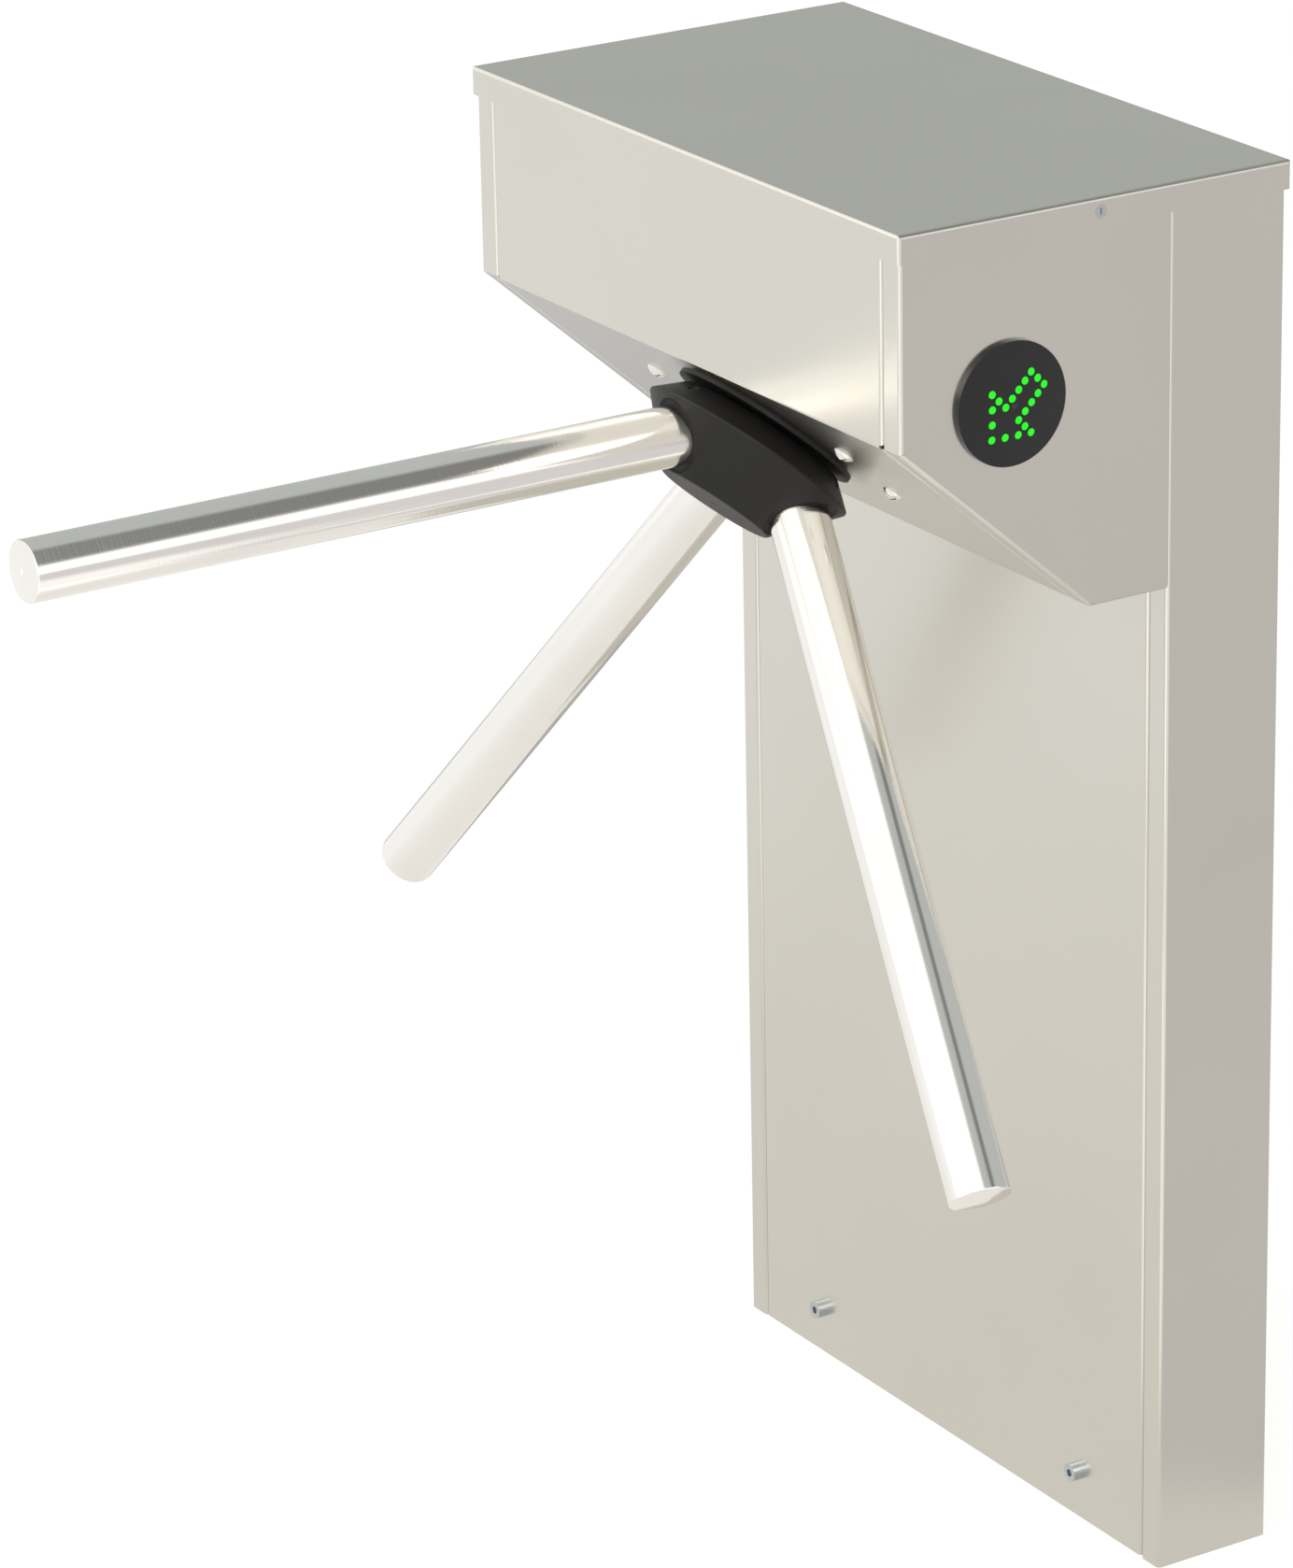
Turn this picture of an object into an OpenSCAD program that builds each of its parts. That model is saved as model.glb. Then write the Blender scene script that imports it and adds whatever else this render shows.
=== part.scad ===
// Waist-high tripod turnstile: a slim post, an overhanging head of folded sheet steel,
// and a hub with three arms that turns about an axis square to the slanted face.
// X runs along the width, the head reaches out towards -Y, and Z = 0 is the floor.
// The origin is the middle of the post's anchor pattern.

/* [Casing] */
// Height of the lid's top above the floor
total_h = 1000; // [900:1:1150]
// Width of the head and the post
casing_w = 520; // [480:1:640]
// Depth of the post
post_d = 93; // [88:1:140]
// How far the head reaches out in front of the post
head_reach = 211.5; // [200:0.5:240]
// Height of the head's front face, lid included
front_face_h = 147; // [135:1:220]
// Height that the slanted face climbs
slant_drop = 131; // [120:1:145]
// Depth of the flat underside next to the post
underside_d = 62; // [50:1:75]
// Thickness of the casing sheet
sheet_t = 2; // [1.5:0.1:2.5]
// Outer radius of the folds
fold_r = 3; // [2.6:0.1:4]
// Width of the folded strips beside the front seams
strip_w = 20.7; // [16:0.1:30]
// Width of the gap in a seam
seam_gap = 0.6; // [0.2:0.1:1.5]
// Depth of the edges that are folded inwards at a seam
seam_fold_d = 12; // [9:1:16]

/* [Lid] */
// Height of the lid's flange
lid_flange_h = 20; // [14:1:30]
// Gap between the lid's flange and the casing
lid_gap = 0.6; // [0.3:0.1:1]
// Diameter of the lock's barrel
lock_d = 9; // [8:0.5:14]
// Distance from the post's front to the lock
lock_from_post = 57; // [40:1:120]

/* [Cover and base] */
// Distance of each cover screw from the middle
cover_screw_x = 163; // [120:1:200]
// Height of the cover screws
cover_screw_z = 36; // [26:1:60]
// Diameter of a cover screw's head
cover_head_d = 13; // [10:0.5:16]
// Height of a cover screw's head
cover_head_h = 7; // [4:0.5:10]
// Thickness of the base plate
base_t = 6; // [4:0.5:12]
// Distance of the anchor holes from the middle, along the width
anchor_x = 205; // [190:1:225]
// Distance of the anchor holes from the middle, along the depth
anchor_y = 20; // [12:1:24]
// Diameter of the anchor holes
anchor_d = 14; // [8:1:18]
// Diameter of the cable hole in the base plate
cable_hole_d = 40; // [20:1:50]
// Outer size of an upright's square tube
upright_size = 40; // [30:1:44]
// Wall of an upright's tube
upright_wall = 3; // [2:0.5:5]

/* [Hub and arms] */
// Distance from the lower fold to the axis, up the slanted face
axis_up_slant = 111; // [105:1:118]
// Depth below the slanted face at which the arm axes meet
apex_depth = 8.1; // [4:0.1:12]
// Distance from the point where the arm axes meet to an arm's end
arm_reach = 568; // [400:1:640]
// Diameter of an arm's tube
arm_d = 42; // [36:0.5:44]
// Wall of an arm's tube
arm_wall = 2; // [1.5:0.1:4]
// Radius of the hub's rim
hub_rim_r = 78.5; // [76:0.5:84]
// Distance of the hub's rim from the slanted face
hub_rim_w = 20.8; // [18:0.1:24]
// Radius of the hub's back
hub_back_r = 61; // [54:0.5:66]
// Gap between the slanted face and the hub's back
hub_back_w = 5; // [3.5:0.1:7]
// Distance of the hub's end face from the slanted face
hub_face_w = 63.7; // [60:0.1:68]
// Radius of the scoop round an arm's root
scoop_r = 26; // [24:0.5:29]
// Depth of the scoop round an arm's root
scoop_d = 4.5; // [3:0.5:8]
// Radius of the shield disc
shield_r = 68; // [60:1:72]

/* [Slanted face] */
// Distance of the large slotted screws from the middle
panel_screw_x = 115; // [100:1:119]
// Distance of the upper slotted screws from the axis, up the slant
panel_screw_up = 18; // [10:1:28]
// Distance of the lower slotted screws from the axis, down the slant
panel_screw_down = 35; // [20:1:42]
// Diameter of a slotted head
slot_head_d = 16; // [12:0.5:18]
// Height of a slotted head
slot_head_h = 4; // [3:0.5:6]

/* [Indicator] */
// Diameter of the indicator's lens
lens_d = 84; // [80:1:90]
// Distance of the indicator from the post's front
lens_from_post = 126.9; // [110:0.1:140]
// Depth of the indicator's middle below the lid's top
lens_below_top = 126; // [110:1:150]
// Thickness of the lens at its edge
lens_edge_t = 3.5; // [2:0.5:5]
// Rise of the lens' dome
lens_rise = 2.5; // [1:0.5:5]
// Spacing of the light dots
led_pitch = 5.1; // [4.5:0.1:5.2]
// Diameter of a light dot
led_d = 5.2; // [4:0.1:5.6]

/* [Bearings and shaft] */
// Diameter of the shaft
shaft_d = 25; // [22:1:26]
// Diameter of the shaft's collar behind the hub
collar_d = 32; // [28:1:34]
// Outer diameter of a ball bearing
bearing_d = 52; // [50:1:56]
// Width of a ball bearing
bearing_w = 15; // [12:1:18]
// Number of balls in a bearing
ball_count = 8; // [6:1:9]
// Diameter of a ball
ball_d = 7.9; // [7:0.1:8.5]
// Length of the bearing housing
housing_len = 86; // [70:1:95]
// Outer radius of the bearing housing
housing_r = 34; // [32:0.5:37]
// Thickness of the slanted frame plate
frame_plate_t = 8; // [5:1:10]
// Thickness of the mechanism deck
deck_t = 5; // [4:0.5:6]

/* [Mechanism] */
// Radius of the lock disc
lock_r = 46; // [43:0.5:46]
// Thickness of the lock disc and the pawls
lock_t = 6; // [4:0.5:7]
// Radius of the index cam's lobes
cam_r = 50; // [46:0.5:50]
// Depth of the index cam's valleys
valley_d = 8.3; // [6:0.1:9]
// Thickness of the index cam
cam_t = 12; // [8:1:14]
// Radius of the centring roller
roller_r = 12; // [10:0.5:13]
// Module of the damper gears
gear_module = 2.5; // [2.4:0.1:2.6]
// Teeth of the main gear
gear_teeth = 48; // [48:48:48]
// Teeth of the damper's pinion
pinion_teeth = 16; // [16:16:16]
// Thickness of the main gear
gear_t = 8; // [6:1:10]
// Radius of the sensor disc
sensor_r = 30; // [26:1:32]
// Radius of the damper's body
damper_r = 28; // [22:1:28]
// Turns of the centring spring
spring_turns = 7; // [4:1:9]

/* [Hidden] */
$fn = 64;

// Shared clearances and overruns
overrun = 1;
running_gap = 0.06;
fixed_gap = 0.02;
bolt_gap = 0.3;
seat_gap = 0.3;

// Planes of the casing
half_w = casing_w / 2;
front_y = -post_d / 2 - head_reach;
post_front_y = -post_d / 2;
fold_y = post_front_y - underside_d;
back_in_y = post_d / 2 - sheet_t;
front_bottom_z = total_h - front_face_h;
underside_z = front_bottom_z - slant_drop;
lid_in_z = total_h - sheet_t;
casing_top_z = lid_in_z - seat_gap;
seam_x = half_w - strip_w;
seam_out = seam_x + seam_gap / 2;
seam_in = seam_x - seam_gap / 2;

// Outline of the head in (y, z), from the rear of the underside round to the top of the front
rim = [
    [post_front_y, underside_z],
    [fold_y, underside_z],
    [front_y, front_bottom_z],
    [front_y, casing_top_z]
];

// Axis of the hub, square to the slanted face
slant_angle = atan2(slant_drop, head_reach - underside_d);
axis_tilt = 90 - slant_angle;
arm_angle = axis_tilt;
axis_y = fold_y - axis_up_slant * cos(slant_angle);
axis_z = underside_z + axis_up_slant * sin(slant_angle);
arm_turns = [90, 210, 330];

// Stations along the axis, outwards positive, from the slanted face
plate_front_w = -sheet_t - fixed_gap;
plate_back_w = plate_front_w - frame_plate_t;
housing_back_w = plate_back_w - housing_len;
deck_back_w = housing_back_w - deck_t;
deck_to_lock = 12;
lock_to_cam = 8;
cam_to_gear = 4;
gear_to_sensor = 5;
sensor_t = 1.5;
lock_w = deck_back_w - deck_to_lock - lock_t;
cam_w = lock_w - lock_to_cam - cam_t;
gear_w = cam_w - cam_to_gear - gear_t;
sensor_w = gear_w - gear_to_sensor - sensor_t;

// Frame plate, deck and side plates
frame_side_t = 5;
frame_half_w = 135;
frame_in_x = frame_half_w - frame_side_t;
frame_plate_half_v = 58;
deck_low_v = -112;
deck_high_v = 112;
frame_tail_h = 95;
frame_top_below = 105;
frame_top_z = total_h - frame_top_below;
upright_front_y = back_in_y - upright_size;
frame_bolt_d = 8;
frame_bolt_head_t = 6;
frame_bolt_inset = 20;
frame_bolt_len = 14;
frame_window_r = 26;

// Cover, brackets and base
cover_foot_gap = 1;
cover_tuck_h = 18;
nose_rear_h = 22;
cover_shank_d = 6;
cover_socket_d = 6;
cover_socket_depth = 4;
bracket_t = 3;
bracket_w = 30;
bracket_h = 50;
bracket_foot_d = 26;
grommet_lip = 4;
grommet_t = 3;
cable_d = 22;

// Lid lock
lock_tongue_t = 2;
lock_tongue_w = 6;
lock_tongue_len = 16;
lock_barrel_len = 12;
lock_key_w = 0.6;
lock_key_depth = 2.5;
lock_notch_w = 28;
lock_notch_spare = 1;
cheek_top_w = 14;
relief_r = 1.2;
fold_set = 0.5;
fold_tongue = 3;
fold_ease = 0.02;
mitre_gap = 0.1;
lock_y = post_front_y - lock_from_post;
lock_z = total_h - lid_flange_h / 2;
lid_out = lid_gap + sheet_t;

// Shaft, spacers, key and nut
ball_pitch_r = (shaft_d + bearing_d) / 4;
inner_ring_r = ball_pitch_r - ball_d / 4 - fixed_gap;
outer_ring_r = ball_pitch_r + ball_d / 4 + fixed_gap;
shoulder_t = 4;
spacer_wall = 3.5;
key_w = 8;
key_h = 7;
key_depth = 4;
stub_d = 20;
stub_len = 13;
nut_af = 32;
nut_t = 10;
collar_front_w = 8;
hub_seat_len = 40;
hub_bolt_d = 12;
hub_bolt_len = 28;
hub_bolt_head_d = 18;
hub_bolt_head_h = 8;
hub_pocket_d = 30;
hub_cap_t = 3;
hub_cap_slot_w = 1.4;
hub_cap_slot_len = 9;
rim_band = 1.6;
hub_edge_r = 2.5;
shield_t = 1.8;
flange_extra_r = 18;
flange_t = 8;
housing_screw_d = 8;
housing_screw_head_d = 13;
housing_screw_head_h = 8;
housing_rib_t = 6;
housing_screw_count = 4;
shaft_hole_gap = 1;

// Arms
arm_root_t = 46;
cap_rim_t = 3;
cap_dome = 2;
cap_edge_r = 2;
cap_spigot_len = 12;
root_plug_len = 32;
set_screw_d = 8;
set_screw_len = 15;
set_screw_in = 14;
set_screw_at = 16;
set_socket_d = 4.5;
set_socket_depth = 4;
scoop_fillet_r = 6;

// Large slotted screws
slot_shank_d = 8;
slot_w = 1.2;
slot_depth = 1.8;

// Pawls, pins and solenoids
pawl_pivot = [52, -45];
pawl_tail = [60, 45];
pawl_arm_w = 8.5;
pawl_tail_wall = 1.6;
pawl_boss_r = 9;
pawl_nose_w = 8;
pawl_clear = 0.6;
notch_gap = 1.2;
notch_d = 6.5;
lock_notches = 6;
pin_r = 4;
pin_collar_r = 7;
pin_spare = 2;
pin_side_gap = 0.2;
link_pin_r = 2.5;
link_gap = 0.4;
link_slot_len = 4;
pawl_tail_r = link_pin_r + link_gap + link_slot_len / 2 + pawl_tail_wall;
plunger_r = 6;
prong_t = 2.6;
fork_end_r = 6;
fork_neck = 4;
solenoid_side_gap = 0.5;
solenoid_back_t = 11.5;
fork_stand_off = 21.5;
solenoid_from = pawl_tail[0] + pawl_tail_r + fork_stand_off;
solenoid_to = frame_in_x - solenoid_side_gap;
solenoid_len = solenoid_to - solenoid_from;
plunger_depth = solenoid_len - solenoid_back_t;
solenoid_half_v = 15;
solenoid_gap = 0.1;

// Centring lever, roller and spring
lever_pivot = [-70, 75];
lever_pad_u = 48;
lever_pad_v = 66;
lever_t = 4.5;
lever_w = 14;
pad_end_w = 12;
roller_clear = 0.3;
roller_rim_gap = 0.5;
roller_at = [0, cam_r + roller_r + roller_clear];
lock_side_gap = 1.5;
lever_high_w = lock_w - lock_side_gap;
lever_low_w = lever_high_w - lever_t;
valley_r = 100;
pad_t = 3;
pad_r = 9;
spring_r = 7;
spring_wire_d = 1.6;
spring_len = 24;
spring_rings = 8;
spring_sides = 6;
spring_low_v = lever_pad_v + lever_w / 2 + seat_gap;
bracket_plate_t = 4;
bracket_half_w = 12;
bracket_reach = 32;
bracket_foot_v = 10;

// Damper, gears and sensor
gear_angle = 20;
addendum_share = 1;
dedendum_share = 1.25;
gear_backlash = 0.15;
flank_steps = 4;
gear_pitch_r = gear_module * gear_teeth / 2;
pinion_pitch_r = gear_module * pinion_teeth / 2;
damper_v = -(gear_pitch_r + pinion_pitch_r);
damper_cap = 4;
damper_shaft_r = 5;
damper_shaft_in = 10;
pinion_extra = 1;
gear_window_r = 13;
gear_window_at = 38;
gear_windows = 6;
sensor_slot_w = 5;
sensor_slot_d = 10;
sensor_slots = 3;
fork_gap = 1;
fork_leg_t = 2.5;
fork_overlap = 6;
fork_w = 14;
fork_back_t = 6;
board_t = 1.6;
sensor_board_half_v = 20;
sensor_board_to = 80;
pillar_u = 73;
pillar_v = 13;
pillar_r = 3;

// Control board
board_low_z = 470;
board_w = 170;
board_h = 120;
standoff_len = 10;
standoff_r = 4;
standoff_inset = 8;
terminal_h = 10;
terminal_d = 12;
terminal_count = 6;
terminal_w = 20;
relay_size = 18;
relay_count = 3;
relay_row_at = 60;
part_gap = 6;

// Indicator
lens_y = post_front_y - lens_from_post;
lens_z = total_h - lens_below_top;
barrel_wall = 2.5;
lens_lip = 4.5;
barrel_len = 14;
lens_front_t = 2.5;
lens_ring_w = 6;
lens_ring_t = 5;
led_board_gap = 3;
led_clear = 0.05;
led_start_shares = [-3.333, -4.137];
led_place_shares = [
    [0, 0], [0, 2], [0, 4], [0, 6], [1, 5], [2, 4], [3, 5], [4, 6], [5, 7], [6, 8],
    [7, 7], [8, 6], [7, 5], [6, 4], [5, 3], [4, 2], [5, 1], [6, 0], [4, 0], [2, 0]
];

steel = "#d5d2ca";
polished = "#e4e3df";
black = "#3a3936";
zinc = "#b9bbb8";
dark_steel = "#7d8084";
alloy = "#a9acae";
rubber = "#2a2a2a";
board_green = "#2f6b45";
light_green = "#00ff00";
brass = "#b99a55";

// Directions and corners of an outline
function unit(v) = v / norm(v);
function bisector(a, p, b) = unit(unit(a - p) + unit(b - p));
function half_corner(a, p, b) = acos(unit(a - p) * unit(b - p)) / 2;
function inset(a, p, b, d) = p + bisector(a, p, b) * d / sin(half_corner(a, p, b));

// A point of the slanted frame, given as its distance out along the axis and up the slant
function slant_point(w, v) = [
    axis_y - w * cos(axis_tilt) - v * sin(axis_tilt),
    axis_z - w * sin(axis_tilt) + v * cos(axis_tilt)
];

// What rounding a convex corner takes away
module corner_waste(a, p, b, r) {
    half = half_corner(a, p, b);
    middle = inset(a, p, b, r);
    difference() {
        polygon([
            p - bisector(a, p, b) * overrun,
            p + unit(a - p) * r / tan(half),
            middle,
            p + unit(b - p) * r / tan(half)
        ]);
        translate(middle) circle(r);
    }
}

// A convex outline with a radius for each corner
module rounded(points, radii) {
    count = len(points);
    difference() {
        polygon(points);
        for (i = [0 : count - 1]) {
            if (radii[i] > 0) {
                corner_waste(points[(i + count - 1) % count], points[i], points[(i + 1) % count], radii[i]);
            }
        }
    }
}

// Extrudes an outline drawn in (y, z) along X
module across(from_x, to_x) {
    translate([from_x, 0, 0]) rotate([90, 0, 90]) linear_extrude(to_x - from_x) children();
}

// Extrudes a section drawn in (x, depth) along an edge of the head
module along(a, b) {
    heading = atan2(b[1] - a[1], b[0] - a[0]);
    translate([0, a[0], a[1]])
        rotate([heading - 90, 0, 0])
            linear_extrude(norm(b - a)) children();
}

// Places its children in the frame of the axis: X, up the slant, outwards
module at_axis(u = 0, v = 0, w = 0) {
    translate([0, axis_y, axis_z]) rotate([90 + axis_tilt, 0, 0]) translate([u, v, w]) children();
}

// Places its children along an arm, which runs up their Z
module at_arm(turn) {
    at_axis(w = -apex_depth) rotate([0, 0, turn]) rotate([0, arm_angle, 0]) children();
}

module mirrored() {
    children();
    mirror([1, 0, 0]) children();
}

module ring(outer_r, inner_r, h) {
    difference() {
        cylinder(r = outer_r, h = h);
        translate([0, 0, -overrun]) cylinder(r = inner_r, h = h + 2 * overrun);
    }
}

// A quarter fold whose outer corner would lie at a point, turned in quarter steps
module fold(corner, quarters, ease = 0) {
    translate(corner) rotate(90 * quarters) intersection() {
        square(fold_r);
        translate([fold_r, fold_r]) difference() {
            circle(fold_r - ease);
            circle(fold_r - sheet_t + ease);
        }
    }
}

// Section of a strip beside a seam: outer corner fold, flat strip, fold at the seam
module strip_section(ease = 0) {
    fold([half_w, 0], 1, ease);
    translate([seam_out + fold_r, ease]) square([half_w - seam_out - 2 * fold_r, sheet_t - 2 * ease]);
    fold([seam_out, 0], 0, ease);
    translate([seam_out + ease, fold_r]) square([sheet_t - 2 * ease, seam_fold_d - fold_r]);
}

// Section of the folded edge of a panel that meets a seam
module panel_edge_section(ease = 0) {
    fold([seam_in, 0], 1, ease);
    translate([seam_in - sheet_t + ease, fold_r]) square([sheet_t - 2 * ease, seam_fold_d - fold_r]);
}

// Runs a section along the underside, the slant and the front, each length cut short at the folds
module round_rim(gap) {
    joints = [
        [0, 1],
        bisector(rim[0], rim[1], rim[2]),
        bisector(rim[1], rim[2], rim[3]),
        [1, 0]
    ];
    reach = 2 * seam_fold_d;
    for (i = [0 : 2]) {
        way = unit(rim[i + 1] - rim[i]);
        from = rim[i] + way * (i > 0 ? gap : 0);
        to = rim[i + 1] - way * (i < 2 ? gap : 0);
        intersection() {
            along(rim[i], rim[i + 1]) children();
            across(-casing_w, casing_w) polygon([
                from - joints[i] * overrun,
                to - joints[i + 1] * overrun,
                to + joints[i + 1] * reach,
                from + joints[i] * reach
            ]);
        }
    }
}

// Small holes where the folds of two edges meet, drawn along the seam
module relief_holes() {
    for (i = [1, 2]) {
        way = bisector(rim[i - 1], rim[i], rim[i + 1]);
        translate([seam_x, rim[i][0], rim[i][1]]) rotate([90 - atan2(way[1], way[0]) - 180, 0, 0])
            translate([0, 0, -fold_r]) cylinder(r = relief_r, h = 2 * fold_r);
    }
}

// Post
module post_half_section() {
    translate([0, back_in_y]) square([half_w - fold_r, sheet_t]);
    fold([half_w, post_d / 2], 2);
    translate([half_w - sheet_t, -post_d / 2 + fold_r]) square([sheet_t, post_d - 2 * fold_r]);
    translate([0, post_front_y]) strip_section();
}

module post_shell() {
    color(steel) linear_extrude(casing_top_z) {
        post_half_section();
        mirror([1, 0]) post_half_section();
    }
}

module front_cover() {
    cover_h = underside_z + cover_tuck_h - cover_foot_gap;
    color(steel) difference() {
        translate([0, post_front_y, cover_foot_gap]) linear_extrude(cover_h) {
            translate([-seam_in + fold_r, 0]) square([2 * (seam_in - fold_r), sheet_t]);
            panel_edge_section();
            mirror([1, 0]) panel_edge_section();
        }
        mirrored() translate([cover_screw_x, post_front_y - overrun, cover_screw_z])
            rotate([-90, 0, 0]) cylinder(d = cover_shank_d + 2 * bolt_gap, h = sheet_t + 2 * overrun);
    }
}

module cover_screw() {
    shank_len = sheet_t + bracket_t + pin_spare;
    difference() {
        translate([0, 0, -cover_head_h]) union() {
            cylinder(d = cover_head_d, h = cover_head_h);
            cylinder(d = cover_shank_d, h = cover_head_h + shank_len);
        }
        translate([0, 0, -cover_head_h - overrun])
            cylinder(d = cover_socket_d, h = cover_socket_depth + overrun, $fn = 6);
    }
}

module front_cover_screws() {
    color(zinc) mirrored() translate([cover_screw_x, post_front_y, cover_screw_z])
        rotate([-90, 0, 0]) cover_screw();
}

module cover_brackets() {
    color(dark_steel) mirrored() translate([cover_screw_x - bracket_w / 2, post_front_y + sheet_t, base_t])
        difference() {
            union() {
                cube([bracket_w, bracket_t, bracket_h]);
                cube([bracket_w, bracket_foot_d, bracket_t]);
            }
            translate([bracket_w / 2, -overrun, cover_screw_z - base_t]) rotate([-90, 0, 0])
                cylinder(d = cover_shank_d + 2 * fixed_gap, h = bracket_t + 2 * overrun);
        }
}

module base_plate() {
    front = post_front_y + seam_fold_d + seat_gap;
    color(dark_steel) difference() {
        translate([-half_w + sheet_t + seat_gap, front, 0])
            cube([casing_w - 2 * (sheet_t + seat_gap), back_in_y - seat_gap - front, base_t]);
        for (x = [-anchor_x, anchor_x], y = [-anchor_y, anchor_y])
            translate([x, y, -overrun]) cylinder(d = anchor_d, h = base_t + 2 * overrun);
        translate([0, 0, -overrun]) cylinder(d = cable_hole_d, h = base_t + 2 * overrun);
    }
}

module cable_grommet() {
    color(rubber) difference() {
        union() {
            cylinder(d = cable_hole_d - 2 * fixed_gap, h = base_t);
            translate([0, 0, base_t]) cylinder(d = cable_hole_d + 2 * grommet_lip, h = grommet_t);
        }
        translate([0, 0, -overrun]) cylinder(d = cable_d, h = base_t + grommet_t + 2 * overrun);
    }
}

module frame_bolt_places() {
    for (drop = [frame_bolt_inset, frame_tail_h - frame_bolt_inset])
        translate([frame_half_w, upright_front_y + upright_size / 2, frame_top_z - drop])
            rotate([0, 90, 0]) children();
}

module uprights() {
    color(dark_steel) mirrored() difference() {
        translate([frame_half_w, upright_front_y, base_t])
            cube([upright_size, upright_size, frame_top_z - base_t]);
        translate([frame_half_w + upright_wall, upright_front_y + upright_wall, base_t - overrun])
            cube([
                upright_size - 2 * upright_wall,
                upright_size - 2 * upright_wall,
                frame_top_z - base_t + 2 * overrun
            ]);
        frame_bolt_places() translate([0, 0, -overrun])
            cylinder(d = frame_bolt_d + 2 * bolt_gap, h = upright_wall + 2 * overrun);
    }
}

// Head
module lens_hole() {
    translate([half_w - sheet_t - overrun, lens_y, lens_z]) rotate([0, 90, 0])
        cylinder(r = lens_d / 2 - lens_lip, h = sheet_t + 2 * overrun);
}

module cheek_sheet() {
    edge = fold_r + fold_set;
    across(half_w - sheet_t, half_w) polygon([
        [post_front_y, casing_top_z],
        [post_front_y, underside_z + edge],
        inset(rim[0], rim[1], rim[2], edge),
        inset(rim[1], rim[2], rim[3], edge),
        [front_y + edge, casing_top_z]
    ]);
    // Each strip is folded from the side sheet, and a tongue of it runs on inside that sheet
    round_rim(mitre_gap) {
        strip_section(fold_ease);
        translate([half_w - sheet_t + fold_ease, fold_r]) square([sheet_t - 2 * fold_ease, fold_tongue]);
    }
    // Rear strip, which lies on the post's front strip
    translate([seam_out, post_front_y - sheet_t, underside_z + sheet_t])
        cube([half_w - sheet_t - seam_out, sheet_t, casing_top_z - underside_z - sheet_t]);
    // Top strip, which the lid rests on
    translate([half_w - cheek_top_w, front_y + seam_fold_d, casing_top_z - sheet_t])
        cube([cheek_top_w - sheet_t / 2, head_reach - seam_fold_d, sheet_t]);
}

module cheek(with_lock) {
    color(steel) difference() {
        cheek_sheet();
        lens_hole();
        relief_holes();
        if (with_lock) {
            notch_z = total_h - lid_flange_h + lock_notch_spare;
            translate([half_w - cheek_top_w - overrun, lock_y - lock_notch_w / 2, notch_z])
                cube([cheek_top_w + 2 * overrun, lock_notch_w, lid_flange_h]);
        }
    }
}

module right_cheek() {
    cheek(true);
}

module left_cheek() {
    mirror([1, 0, 0]) cheek(false);
}

module nose_panel() {
    far_top = casing_top_z + 2 * overrun;
    outside = [rim[0], rim[1], rim[2], rim[3], [post_front_y, casing_top_z]];
    inside = [
        [post_front_y - sheet_t, underside_z + sheet_t],
        inset(rim[0], rim[1], rim[2], sheet_t),
        inset(rim[1], rim[2], rim[3], sheet_t),
        [front_y + sheet_t, far_top],
        [post_front_y - sheet_t, far_top]
    ];
    inner_r = fold_r - sheet_t;
    edge = fold_r + fold_set;
    rear_top = underside_z + nose_rear_h;
    color(steel) difference() {
        union() {
            across(-seam_in + edge, seam_in - edge) difference() {
                rounded(outside, [fold_r, fold_r, fold_r, 0, 0]);
                rounded(inside, [inner_r, inner_r, inner_r, 0, 0]);
                translate([fold_y, rear_top]) square([underside_d + overrun, far_top - rear_top]);
            }
            // The folded edges stop short of the panel's own folds
            round_rim(fold_r / 2) for (side = [0, 1]) mirror([side, 0]) {
                panel_edge_section(fold_ease);
                translate([seam_in - fold_r - fold_tongue, fold_ease])
                    square([fold_tongue, sheet_t - 2 * fold_ease]);
            }
        }
        at_axis(w = -sheet_t - overrun)
            cylinder(r = collar_d / 2 + 3 * shaft_hole_gap, h = sheet_t + 2 * overrun);
        panel_screw_places() translate([0, 0, -sheet_t - overrun])
            cylinder(d = slot_shank_d + 2 * bolt_gap, h = sheet_t + 2 * overrun);
    }
}

module lid_block(grow, low_z, high_z, r) {
    x = half_w + grow;
    front = front_y - grow;
    back = post_d / 2 + grow;
    top_radii = [0, 0, r, r];
    intersection() {
        translate([0, 0, low_z]) linear_extrude(high_z - low_z)
            rounded([[-x, front], [x, front], [x, back], [-x, back]], [r, r, r, r]);
        across(-x - overrun, x + overrun)
            rounded([[front, low_z], [back, low_z], [back, high_z], [front, high_z]], top_radii);
        translate([0, back + overrun, 0]) rotate([90, 0, 0]) linear_extrude(back - front + 2 * overrun)
            rounded([[-x, low_z], [x, low_z], [x, high_z], [-x, high_z]], top_radii);
    }
}

module lid() {
    color(steel) difference() {
        lid_block(lid_out, total_h - lid_flange_h, total_h, fold_r);
        lid_block(lid_gap, total_h - lid_flange_h - overrun, lid_in_z, fold_r - sheet_t);
        translate([half_w, lock_y, lock_z]) rotate([0, 90, 0])
            cylinder(d = lock_d + 2 * running_gap, h = lid_out + overrun);
    }
}

module lid_lock() {
    face_x = half_w + lid_out;
    color(zinc) translate([face_x, lock_y, lock_z]) rotate([0, -90, 0]) {
        difference() {
            cylinder(d = lock_d, h = lock_barrel_len);
            translate([-lock_d / 4, -lock_key_w / 2, -overrun])
                cube([lock_d / 2, lock_key_w, lock_key_depth + overrun]);
        }
        // The tongue hangs down while the lock is open
        translate([-lock_tongue_len, -lock_tongue_w / 2, lock_barrel_len])
            cube([lock_tongue_len + lock_tongue_w / 2, lock_tongue_w, lock_tongue_t]);
    }
}

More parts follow.
